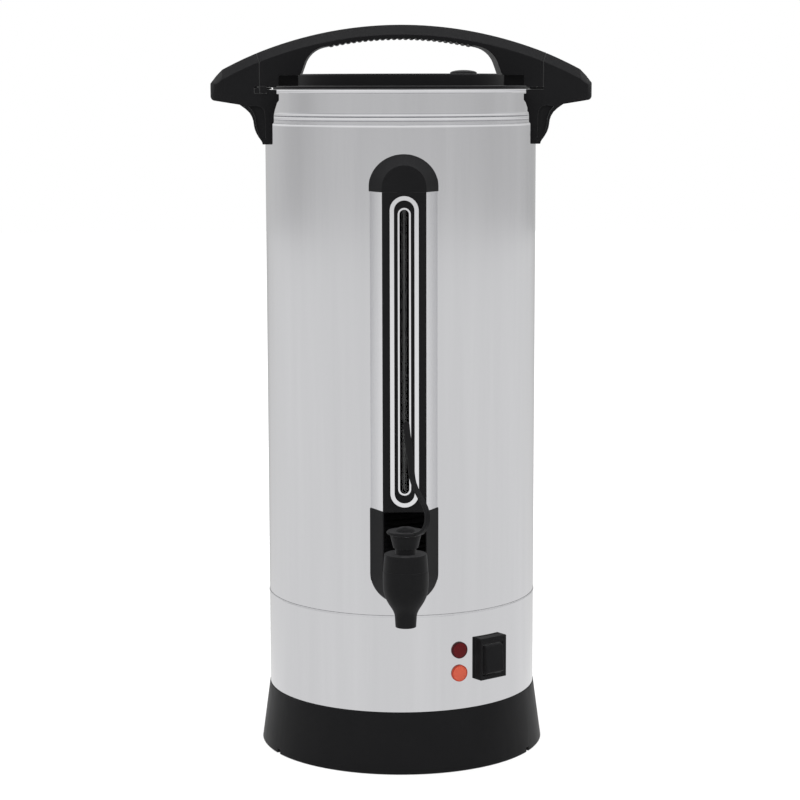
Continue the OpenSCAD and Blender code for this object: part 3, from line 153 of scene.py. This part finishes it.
# %% World
world = bpy.data.worlds.new("white_studio")
world.use_nodes = True
bpy.context.scene.world = world
sky = world.node_tree
sky.nodes.clear()
direction = add(sky, "ShaderNodeTexCoord")
parts = add(sky, "ShaderNodeSeparateXYZ", {0: direction.outputs["Generated"]})
front = add(sky, "ShaderNodeMath", {0: parts.outputs["Y"], 1: -1.0}, operation="MULTIPLY")
bearing = add(sky, "ShaderNodeMath", {0: parts.outputs["X"], 1: front.outputs[0]}, operation="ARCTAN2")
turned = add(sky, "ShaderNodeMapRange", {"Value": bearing.outputs[0], "From Min": -math.pi,
                                         "From Max": math.pi})
raised = add(sky, "ShaderNodeMapRange", {"Value": parts.outputs["Z"], "From Min": WALL_FOOT,
                                         "From Max": WALL_TOP})
walls = add(sky, "ShaderNodeValToRGB", {0: turned.outputs[0]}, stops=WALLS)
heights = add(sky, "ShaderNodeValToRGB", {0: raised.outputs[0]}, stops=HEIGHTS)
room = add(sky, "ShaderNodeMix", {MIX_BY: 1.0, COLOUR_A: walls.outputs["Color"],
                                  COLOUR_B: heights.outputs["Color"]},
           data_type="RGBA", blend_type="MULTIPLY")
rays = add(sky, "ShaderNodeLightPath")
mirrored = add(sky, "ShaderNodeMath", {0: rays.outputs["Is Glossy Ray"],
                                       1: rays.outputs["Is Transmission Ray"]}, operation="MAXIMUM")
overhead = add(sky, "ShaderNodeMapRange", {"Value": parts.outputs["Z"], "From Min": 0.0, "From Max": 0.9,
                                           "To Min": AT_SKYLINE, "To Max": FROM_ABOVE})
ambient = add(sky, "ShaderNodeBackground", {"Color": WHITE, "Strength": overhead.outputs[0]})
studio = add(sky, "ShaderNodeBackground", {"Color": room.outputs[COLOUR_OUT], "Strength": 1.0})
white = add(sky, "ShaderNodeBackground", {"Color": WHITE, "Strength": 1.0})
lit = add(sky, "ShaderNodeMixShader", {0: mirrored.outputs[0], 1: ambient.outputs[0], 2: studio.outputs[0]})
seen = add(sky, "ShaderNodeMixShader", {0: rays.outputs["Is Camera Ray"], 1: lit.outputs[0],
                                        2: white.outputs[0]})
add(sky, "ShaderNodeOutputWorld", {"Surface": seen.outputs[0]})
print("world with", len(sky.nodes), "nodes")

# %% [markdown]
# ## The floor
# A wide disc of white card. For the camera it gives most of its white itself and takes the rest from the
# lamps, so it matches the white behind it and still keeps the soft shadow under the urn. For mirrored
# rays it glows by itself, less towards the back. For all other rays it is plain pale card, which lights
# the urn softly from below.

# %% Floor
FLOOR_DROP = 0.0002  # the card lies a hair under the urn's rim
NEAR_R, FAR_R = 0.35, 1.3
NEAR_GLOW = 0.8  # the glow rises from this, near the urn, to 1
SHADOW_CARD = (0.18, 0.18, 0.18, 1)
PLAIN_CARD = (0.72, 0.72, 0.72, 1)
bpy.ops.object.select_all(action="DESELECT")
bpy.ops.mesh.primitive_circle_add(vertices=96, radius=FLOOR_R, fill_type="NGON",
                                  location=(0, 0, -FLOOR_DROP))
floor = bpy.context.object
floor.name = "studio_floor"
card = bpy.data.materials.new("white_card")
card.use_nodes = True
tree = card.node_tree
tree.nodes.clear()
spot = add(tree, "ShaderNodeTexCoord")
across = add(tree, "ShaderNodeSeparateXYZ", {0: spot.outputs["Object"]})
away = add(tree, "ShaderNodeVectorMath", {0: spot.outputs["Object"]}, operation="LENGTH")
near_urn = add(tree, "ShaderNodeMapRange", {"Value": away.outputs["Value"], "From Min": NEAR_R,
                                            "From Max": FAR_R, "To Min": NEAR_GLOW, "To Max": 1.0})
forward = add(tree, "ShaderNodeMath", {0: across.outputs["Y"], 1: -1.0}, operation="MULTIPLY")
sideways = add(tree, "ShaderNodeMath", {0: across.outputs["X"], 1: forward.outputs[0]}, operation="ARCTAN2")
either_side = add(tree, "ShaderNodeMath", {0: sideways.outputs[0]}, operation="ABSOLUTE")
half_turn = add(tree, "ShaderNodeMapRange", {"Value": either_side.outputs[0], "From Min": 0.0,
                                             "From Max": math.pi})
behind = add(tree, "ShaderNodeValToRGB", {0: half_turn.outputs[0]}, stops=FLOOR_SIDES)
paths = add(tree, "ShaderNodeLightPath")
mirrors = add(tree, "ShaderNodeMath", {0: paths.outputs["Is Glossy Ray"],
                                       1: paths.outputs["Is Transmission Ray"]}, operation="MAXIMUM")
plain = add(tree, "ShaderNodeBsdfDiffuse", {"Color": PLAIN_CARD})
keeps_shadow = add(tree, "ShaderNodeBsdfDiffuse", {"Color": SHADOW_CARD})
glow = add(tree, "ShaderNodeEmission", {"Color": WHITE, "Strength": near_urn.outputs[0]})
backdrop = add(tree, "ShaderNodeAddShader", {0: keeps_shadow.outputs[0], 1: glow.outputs[0]})
in_mirrors = add(tree, "ShaderNodeEmission", {"Color": behind.outputs["Color"], "Strength": 1.0})
lit_or_seen = add(tree, "ShaderNodeMixShader", {0: paths.outputs["Is Camera Ray"], 1: plain.outputs[0],
                                                2: backdrop.outputs[0]})
mixed = add(tree, "ShaderNodeMixShader", {0: mirrors.outputs[0], 1: lit_or_seen.outputs[0],
                                          2: in_mirrors.outputs[0]})
add(tree, "ShaderNodeOutputMaterial", {"Surface": mixed.outputs[0]})
floor.data.materials.append(card)
print("floor radius", FLOOR_R)

# %% [markdown]
# ## Three soft lamps
# One large lamp stands high on the left and one weaker on the right, both wide, so that shadows stay
# soft. A third hangs straight above: it reaches only faces that look upwards, and so sets the handles'
# tops off from their fronts. The steel doesn't mirror the lamps, because the room's own white is all that
# it should show.

# %% Lamps
LAMPS_AIM_AT = Vector((0, 0, 0.3))


def soft_lamp(name, place, size, watts):
    light = bpy.data.lights.new(name, "AREA")
    light.shape = "DISK"
    light.size = size
    light.energy = watts
    lamp = bpy.data.objects.new(name, light)
    bpy.context.scene.collection.objects.link(lamp)
    lamp.location = place
    lamp.rotation_euler = (LAMPS_AIM_AT - Vector(place)).to_track_quat("-Z", "Y").to_euler()
    lamp.visible_glossy = False


soft_lamp("key_lamp", (-1.6, -1.9, 2.1), 1.6, 34)
soft_lamp("fill_lamp", (1.9, -1.5, 1.7), 1.6, 20)
soft_lamp("top_lamp", (0.0, 0.25, 2.3), 1.8, 75)
bpy.context.scene.view_settings.view_transform = "Standard"
print("lamps", len(bpy.data.lights))

# %% [markdown]
# ## Finishes
# Each finish starts from what the real one is and how its surface was made. One function makes them all
# from a recipe. A recipe names the shader's socket that a pattern drives, and gives the pattern's waves
# to the metre, its detail and its stretch along X, Y and Z. After that come the two ends that it runs
# between, or for the bump its depth in millimetres. Patterns read Object coordinates, in metres, so 1000
# waves to the metre is one to the millimetre.

# %% A finish from its recipe
EVEN = (1, 1, 1)


def finish(name, colour, metallic, roughness, patterns, specular=0.5, ior=1.5):
    material = bpy.data.materials.new(name)
    material.use_nodes = True
    tree = material.node_tree
    shader = tree.nodes["Principled BSDF"]
    shader.inputs["Base Color"].default_value = linear(colour)
    shader.inputs["Metallic"].default_value = metallic
    shader.inputs["Roughness"].default_value = roughness
    if not metallic:
        shader.inputs["IOR"].default_value = ior
        shader.inputs["Specular IOR Level"].default_value = specular
    place = add(tree, "ShaderNodeTexCoord")
    for socket, (per_metre, detail, stretch, *ends) in patterns.items():
        mapped = add(tree, "ShaderNodeMapping", {"Vector": place.outputs["Object"], "Scale": stretch})
        waves = add(tree, "ShaderNodeTexNoise", {"Vector": mapped.outputs[0], "Scale": per_metre,
                                                 "Detail": detail})
        if socket == "Base Color":
            tone = add(tree, "ShaderNodeMix", {MIX_BY: waves.outputs[0], COLOUR_A: linear(ends[0]),
                                               COLOUR_B: linear(ends[1])}, data_type="RGBA")
            made = tone.outputs[COLOUR_OUT]
        elif socket == "Roughness":
            made = add(tree, "ShaderNodeMapRange", {"Value": waves.outputs[0], "To Min": ends[0],
                                                    "To Max": ends[1]}).outputs[0]
        else:
            made = add(tree, "ShaderNodeBump", {"Strength": 1.0, "Distance": ends[0] * MM,
                                                "Height": waves.outputs[0]}).outputs[0]
        tree.links.new(made, shader.inputs[socket])
    return material


print("ready to make finishes")

# %% [markdown]
# ### Rolled stainless sheet
# The tank and the lower band are bright-rolled stainless steel, with a very fine grain. Its colour carries
# long soft upright streaks, about 14 mm wide as on the real urn: partly the rolled sheet's own uneven
# tone and partly painted reflection of the soft streaks that the drum mirrors. The grain is under 0.1 mm
# and is drawn about 1 mm wide so that it shows. The colour follows the streaks and a quarter of the grain,
# which needs one more mix than the recipe has, so it is added by hand.

# %% Rolled stainless sheet
TONE_AND_PAINTED_REFLECTION_STREAKS = (70, 2.0, (1, 1, 0.035))
GRAIN = (900, 3.0, (1, 1, 0.02))
GRAIN_SHARE = 0.25
sheet_steel = finish("rolled_stainless_sheet", "#c9c9cb", 1.0, 0.12,
                     {"Roughness": (*GRAIN, 0.1, 0.14), "Normal": (*GRAIN, 0.0012)})
tree = sheet_steel.node_tree
place = add(tree, "ShaderNodeTexCoord")
layers = []
for per_metre, detail, stretch in (TONE_AND_PAINTED_REFLECTION_STREAKS, GRAIN):
    mapped = add(tree, "ShaderNodeMapping", {"Vector": place.outputs["Object"], "Scale": stretch})
    layers.append(add(tree, "ShaderNodeTexNoise", {"Vector": mapped.outputs[0], "Scale": per_metre,
                                                   "Detail": detail}).outputs[0])
both = add(tree, "ShaderNodeMix", {MIX_BY: GRAIN_SHARE, NUMBER_A: layers[0], NUMBER_B: layers[1]},
           data_type="FLOAT")
# Partly painted reflection: the streaks in this colour stand for mirrored streaks, with the sheet's own
# uneven tone.
tone = add(tree, "ShaderNodeMix", {MIX_BY: both.outputs[NUMBER_OUT], COLOUR_A: linear("#c3c3c5"),
                                   COLOUR_B: linear("#cfcfd1")}, data_type="RGBA")
tree.links.new(tone.outputs[COLOUR_OUT], tree.nodes["Principled BSDF"].inputs["Base Color"])
print(sheet_steel.name)

# %% [markdown]
# ### Trim, guard, pressed parts and screws
# The rings round the gauge's slot and the tap's shank are polished, so their gloss hardly varies. The
# guard is bright-annealed sheet, paler and softer in gloss, with faint upright streaks. The inner parts
# are pressed from plain sheet, which leaves them duller and cloudy, in patches of about 6 mm. Screws are
# zinc plated, and plating is mottled at about 2 mm.

# %% Trim, guard, pressed parts and screws
polished_trim = finish("polished_stainless_trim", "#dcdcde", 1.0, 0.16, {
    "Roughness": (260, 3.0, EVEN, 0.1, 0.2), "Normal": (1500, 2.0, EVEN, 0.001)})
guard_steel = finish("bright_annealed_stainless", "#dcdcde", 1.0, 0.24, {
    "Base Color": (90, 2.0, (1, 1, 0.05), "#d6d6d8", "#e2e2e4"), "Roughness": (700, 2.0, EVEN, 0.21, 0.28)})
pressed_steel = finish("pressed_stainless_steel", "#bcbcbe", 1.0, 0.3, {
    "Base Color": (160, 4.0, EVEN, "#b2b2b4", "#c6c6c8"), "Roughness": (700, 2.0, EVEN, 0.24, 0.38),
    "Normal": (1200, 2.0, EVEN, 0.004)})
zinc_steel = finish("zinc_plated_steel", "#a9abae", 1.0, 0.35, {
    "Base Color": (500, 3.0, EVEN, "#9b9da2", "#b6b8b9"), "Roughness": (900, 2.0, EVEN, 0.28, 0.45)})
print(polished_trim.name, guard_steel.name, pressed_steel.name, zinc_steel.name)

# %% [markdown]
# ### Moulded black plastic
# The base, the handles, the lid and the tap are black polypropylene from a finely spark-eroded mould. It
# is a deep black with little gloss, slightly cloudy at about 25 mm, and the eroded mould leaves a fine
# grit, about 0.4 mm across.

# %% Moulded black plastic
black_plastic = finish("moulded_black_polypropylene", "#151516", 0.0, 0.42, {
    "Base Color": (40, 3.0, EVEN, "#131314", "#171718"), "Roughness": (40, 3.0, EVEN, 0.38, 0.5),
    "Normal": (2600, 2.0, EVEN, 0.008)}, specular=0.06, ior=1.49)
print(black_plastic.name)

# %% [markdown]
# ### Rubber, nylon, brass and the heater's metals
# These parts are inside or underneath. Silicone rubber is matt with a fine tooth, about 0.5 mm. The
# terminal block is natural nylon, which is creamy. The inlet's pins are brass with a thin worn plating of
# nickel, so yellow shows through the grey. The heater's alloy has been hot many times, which leaves brown
# and grey tints.

# %% Rubber, nylon, brass and the heater's metals
dark_rubber = finish("silicone_rubber", "#3a3a3b", 0.0, 0.7, {
    "Base Color": (120, 3.0, EVEN, "#353536", "#404041"), "Normal": (2000, 2.0, EVEN, 0.02)},
    specular=0.3, ior=1.43)
nylon = finish("natural_nylon", "#e3dfd2", 0.0, 0.45, {
    "Base Color": (150, 3.0, EVEN, "#dcd7c8", "#e8e5da"), "Normal": (1800, 2.0, EVEN, 0.015)},
    specular=0.4, ior=1.53)
brass = finish("nickel_plated_brass", "#c9b98c", 1.0, 0.28, {
    "Base Color": (600, 3.0, EVEN, "#bda970", "#cfc5a6"), "Roughness": (900, 2.0, EVEN, 0.2, 0.36)})
heater_metal = finish("heat_tinted_alloy", "#8b8a86", 1.0, 0.42, {
    "Base Color": (60, 4.0, EVEN, "#77716a", "#9a9a99"), "Roughness": (800, 2.0, EVEN, 0.34, 0.52),
    "Normal": (1500, 2.0, EVEN, 0.01)})
print(dark_rubber.name, nylon.name, brass.name, heater_metal.name)

# %% [markdown]
# ### The sight glass and the two lamps
# The gauge holds a tube of borosilicate glass. Its smoky grey colour is painted shade, so that the slot
# looks as dark as it does on the real urn. The lamps' lenses are tinted polycarbonate, dark red above and
# soft coral below; the coral is the lit lower lamp's painted glow. Their rims are painted shade, the same
# plastic made darker where no light comes through.

# %% Glass and lenses
# Painted shade: the tube's smoky grey darkens the slot as the shade inside the gauge would.
clear_glass = finish("borosilicate_tube_painted_shade", "#a4a8a8", 0.0, 0.03, {"Roughness": (60, 2.0, EVEN, 0.02, 0.05)},
                     specular=0.06, ior=1.47)
clear_glass.node_tree.nodes["Principled BSDF"].inputs["Transmission Weight"].default_value = 1.0
red_lens = finish("dark_red_polycarbonate", "#521013", 0.0, 0.3, {
    "Base Color": (400, 2.0, EVEN, "#4a0e11", "#5a1216")}, specular=0.08, ior=1.58)
# Painted glow: the coral colour stands for the lower lamp lit from inside.
amber_lens = finish("coral_polycarbonate_painted_glow", "#bc5440", 0.0, 0.3, {
    "Base Color": (400, 2.0, EVEN, "#b64f3b", "#c25a45")}, specular=0.08, ior=1.58)
# Painted shade: the rims are the lenses' plastic made darker where no light comes through.
red_rim_painted_shade = finish("dark_red_polycarbonate_rim_painted_shade", "#2e0a0c", 0.0, 0.35, {
    "Base Color": (400, 2.0, EVEN, "#280809", "#360d10")}, specular=0.1, ior=1.58)
amber_rim_painted_shade = finish("coral_polycarbonate_rim_painted_shade", "#a03220", 0.0, 0.35, {
    "Base Color": (400, 2.0, EVEN, "#962c1b", "#ab3a27")}, specular=0.1, ior=1.58)
print(clear_glass.name, red_lens.name, amber_lens.name)

# %% [markdown]
# ### Which part gets which finish
# The record names a material slot for every node, and each slot has one finish here. Screws and the guard
# are the exceptions: their slots are shared with other steel parts, but their surfaces were made in
# another way.

# %% Give every CAD node its finish
finish_of_slot = {
    "black_plastic": black_plastic, "body_steel": sheet_steel, "plain_steel": pressed_steel,
    "bright_trim": polished_trim, "heater_metal": heater_metal, "dark_rubber": dark_rubber,
    "clear_glass": clear_glass, "red_lens": red_lens, "amber_lens": amber_lens, "terminal_nylon": nylon,
    "pin_brass": brass,
}
slot_of_node = {entry["node"]: entry["material_slot"] for entry in record["subparts"]}
for name, part in nodes.items():
    own = zinc_steel if name.endswith("_screws") else guard_steel if name == "gauge_guard" else None
    part.data.materials.clear()
    part.data.materials.append(own or finish_of_slot[slot_of_node[name]])
print("finishes set on", len(slot_of_node), "nodes")

# %% [markdown]
# ### Round faces
# A CAD mesh is made of flat facets. Smooth shading blends neighbours that meet at a small angle, so the
# drum looks round, and leaves real edges sharp. The mesh itself doesn't change.

# %% Smooth the round faces
for part in nodes.values():
    bpy.ops.object.select_all(action="DESELECT")
    part.select_set(True)
    bpy.context.view_layer.objects.active = part
    bpy.ops.object.shade_smooth_by_angle(angle=math.radians(30))
print("round faces smoothed on", len(nodes), "nodes")

# %% [markdown]
# ### Moulded parts have round edges
# A mould can't be cut to a knife edge, so every moulding on the real urn has slightly rounded edges, and
# each shows as a thin lit line. The CAD solid has sharp ones. A copy of it is merged, its flat faces are
# joined again from their triangles, and a Bevel modifier rounds its sharp edges. Where edges crowd
# together a bevel can throw a corner far out, so any corner that has left the solid's skin is put back on
# it.

# %% Round the edges of a moulding
MERGE_WITHIN = 0.01 * MM
FLAT_WITHIN = math.radians(0.6)
SHARP_OVER = math.radians(35)
STRAY = 0.7  # how far a corner may leave the skin, as a share of the bevel's width


def skin_of(name):
    mesh = nodes[name].data
    return BVHTree.FromPolygons([v.co for v in mesh.vertices], [f.vertices for f in mesh.polygons])


def rounded(name, width):
    piece = bpy.data.objects.new(name + "_moulding", nodes[name].data.copy())
    bpy.context.scene.collection.objects.link(piece)
    bpy.ops.object.select_all(action="DESELECT")
    piece.select_set(True)
    bpy.context.view_layer.objects.active = piece
    bpy.ops.object.mode_set(mode="EDIT")
    bpy.ops.mesh.select_all(action="SELECT")
    bpy.ops.mesh.remove_doubles(threshold=MERGE_WITHIN)
    bpy.ops.mesh.dissolve_limited(angle_limit=FLAT_WITHIN)
    bpy.ops.object.mode_set(mode="OBJECT")
    edge = piece.modifiers.new("round_edges", "BEVEL")
    edge.width = width * MM
    edge.segments = 2
    edge.limit_method = "ANGLE"
    edge.angle_limit = SHARP_OVER
    edge.use_clamp_overlap = False
    bpy.ops.object.modifier_apply(modifier=edge.name)
    skin = skin_of(name)
    for corner in piece.data.vertices:
        nearest, _, _, gap = skin.find_nearest(corner.co)
        if gap > STRAY * width * MM:
            corner.co = nearest
    bpy.ops.object.shade_smooth_by_angle(angle=math.radians(40))
    even = piece.modifiers.new("even_shading", "WEIGHTED_NORMAL")
    even.keep_sharp = True
    bpy.ops.object.modifier_apply(modifier=even.name)
    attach(piece, nodes[name]["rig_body"])
    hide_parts(name)
    low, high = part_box(name)
    points = [corner.co for corner in piece.data.vertices]
    past = max(max(low[i] - min(p[i] for p in points), max(p[i] for p in points) - high[i]) for i in range(3))
    print(name, "faces", len(piece.data.polygons), "past its box by", round(past / MM, 3), "mm")
    return piece


# %% Every moulding, with the width of its round edge in mm
MOULDINGS = {
    "arch_handle": 0.4, "side_handle_left": 0.4, "side_handle_right": 0.4, "lid": 0.5, "vent_cap": 0.3,
    "gauge_cap": 0.35, "tap_bracket": 0.6, "gauge_guard": 0.2, "base_skirt": 0.6, "switch_housing": 0.5,
    "switch_rocker": 0.8, "tap_body": 0.3, "tap_bonnet": 0.3, "tap_lever": 0.35, "power_inlet": 0.5,
}
mouldings = {name: rounded(name, width) for name, width in MOULDINGS.items()}
print(len(mouldings), "mouldings rounded")

# %% [markdown]
# ### A dark gap round the switch's rocker
# The rocker tips in a frame with room round it, and that room shows as a black line. The rocker's
# moulding is made a little narrower and lower about its own middle, in the frame's own directions, so
# that the line shows at this distance. Its front stays where it is.

# %% A wider gap round the switch's rocker
NARROWER = (0.9, 1.0, 0.96, 1.0)  # across, front to back, up


def middle_and_outward(name):
    low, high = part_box(name)
    middle = (low + high) / 2
    return middle, Vector((middle.x, middle.y, 0)).normalized()


middle, outward = middle_and_outward("switch_rocker")
to_front = Matrix.Translation(middle) @ outward.to_track_quat("Y", "Z").to_matrix().to_4x4()
mouldings["switch_rocker"].data.transform(to_front @ Matrix.Diagonal(NARROWER) @ to_front.inverted())
print("rocker narrowed about", [round(v / MM, 1) for v in middle])

# %% [markdown]
# ### What the steel mirrors
# In the photograph the steel shows the white room and almost nothing of the black mouldings beside it. So
# the mouldings, the gauge's panel and the two lamps are hidden from mirrored rays. The guard stays,
# because it is steel itself.

# %% What the steel doesn't mirror
for name, piece in mouldings.items():
    piece.visible_glossy = name == "gauge_guard"
for name in ("gauge_panel", "red_lamp", "amber_lamp"):
    nodes[name].visible_glossy = False
print(sum(not piece.visible_glossy for piece in mouldings.values()), "mouldings are left out of reflections")

# %% [markdown]
# ### Rims of the two lamps
# Each lens snaps into a moulded rim of the same tinted plastic, which looks darker because light leaves
# through the lens; that darker colour is painted shade. A torus would be round all over, but the rim's
# section is a small rectangle with rounded corners, so that section is drawn once and spun about the
# lamp's axis, and each lamp gets its own copy.

# %% A ring turned about the Z axis
def turned_ring(name, r_in, r_out, low, high, corner):
    bpy.ops.object.select_all(action="DESELECT")
    bpy.ops.mesh.primitive_plane_add(size=1.0)
    ring = bpy.context.object
    ring.name = name
    bpy.ops.object.mode_set(mode="EDIT")
    bpy.ops.transform.resize(value=((r_out - r_in) * MM, (high - low) * MM, 1.0))
    bpy.ops.mesh.bevel(offset=corner * MM, segments=2, affect="VERTICES")
    bpy.ops.transform.rotate(value=math.pi / 2, orient_axis="X", center_override=(0, 0, 0))
    bpy.ops.transform.translate(value=((r_in + r_out) / 2 * MM, 0, (low + high) / 2 * MM))
    bpy.ops.mesh.delete(type="ONLY_FACE")
    bpy.ops.mesh.select_all(action="SELECT")
    bpy.ops.mesh.spin(steps=64, angle=2 * math.pi, center=(0, 0, 0), axis=(0, 0, 1))
    bpy.ops.mesh.select_all(action="SELECT")
    bpy.ops.mesh.remove_doubles(threshold=0.005 * MM)
    bpy.ops.mesh.normals_make_consistent(inside=False)
    bpy.ops.object.mode_set(mode="OBJECT")
    bpy.ops.object.shade_smooth_by_angle(angle=math.radians(40))
    return ring


def put(piece, matrix, material, body):
    piece.data.transform(matrix)
    piece.data.materials.clear()
    piece.data.materials.append(material)
    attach(piece, body)


# %% Rims
RIM_IN, RIM_OUT = 5.85, 6.7
RIM_BACK, RIM_FRONT = -2.0, 0.0
RIM_CORNER = 0.2
BEHIND_CROWN = 0.7  # the rim's front lies this far behind the lens's highest point
rim = turned_ring("lamp_rim", RIM_IN, RIM_OUT, RIM_BACK, RIM_FRONT, RIM_CORNER)
# Each rim takes its darker colour, which is painted shade.
for lamp, material in (("red_lamp", red_rim_painted_shade), ("amber_lamp", amber_rim_painted_shade)):
    middle, outward = middle_and_outward(lamp)
    crown = max(v.co.dot(outward) for v in nodes[lamp].data.vertices)
    own = rim.copy()
    own.data = rim.data.copy()
    own.name = lamp + "_rim"
    bpy.context.scene.collection.objects.link(own)
    seat = Matrix.Translation(outward * (crown - BEHIND_CROWN * MM) + Vector((0, 0, middle.z)))
    face = seat @ outward.to_track_quat("Z", "Y").to_matrix().to_4x4()
    put(own, face, material, "urn")
    print(own.name, "behind a lens that reaches out to", round(crown / MM, 2), "mm")
bpy.data.objects.remove(rim)

# %% [markdown]
# ### The weld down the tank's back
# The tank is one sheet rolled to a drum and welded where its edges meet, at the back. The weld is a low
# bead with small ripples. A bump in the steel would vanish at its sides, so it is a narrow strip with a
# crowned section, given its ripples row by row and then a thickness.

# %% Weld
WELD_W = 2.6
WELD_LIFT, WELD_CROWN = 0.02, 0.16
RIPPLE_H, RIPPLE_LENGTH = 0.03, 1.4
WELD_WALL = 0.2
ABOVE_BAND, BELOW_RIM = 3, 34
ROWS = 520
weld_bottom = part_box("lower_band")[1].z + ABOVE_BAND * MM
weld_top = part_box("tank_shell")[1].z - BELOW_RIM * MM
weld_middle = (weld_bottom + weld_top) / 2
behind_urn = Vector((0, 0.3, weld_middle))
back = skin_of("tank_shell").ray_cast(behind_urn, Vector((0, -1, 0)))[0].y
bpy.ops.object.select_all(action="DESELECT")
bpy.ops.mesh.primitive_grid_add(x_subdivisions=6, y_subdivisions=ROWS, size=1.0)
weld = bpy.context.object
weld.name = "tank_weld"
bpy.ops.object.mode_set(mode="EDIT")
bpy.ops.transform.resize(value=(WELD_W * MM, weld_top - weld_bottom, 1.0))
bpy.ops.transform.rotate(value=-math.pi / 2, orient_axis="X", center_override=(0, 0, 0))
bpy.ops.object.mode_set(mode="OBJECT")
for point in weld.data.vertices:
    side = point.co.x / (WELD_W / 2 * MM)
    wave = (point.co.z / MM + 0.5 * side * side) / RIPPLE_LENGTH
    height = WELD_CROWN + RIPPLE_H * math.cos(2 * math.pi * wave)
    point.co.y = (WELD_LIFT + height * (1 - side * side)) * MM
weld.data.transform(Matrix.Translation((0, back, weld_middle)))
wall = weld.modifiers.new("bead", "SOLIDIFY")
wall.thickness = WELD_WALL * MM
bpy.context.view_layer.objects.active = weld
bpy.ops.object.modifier_apply(modifier=wall.name)
bpy.ops.object.shade_smooth_by_angle(angle=math.radians(50))
put(weld, Matrix.Identity(4), pressed_steel, "urn")
print("weld from", round(weld_bottom / MM), "to", round(weld_top / MM), "mm, at y", round(back / MM, 2))
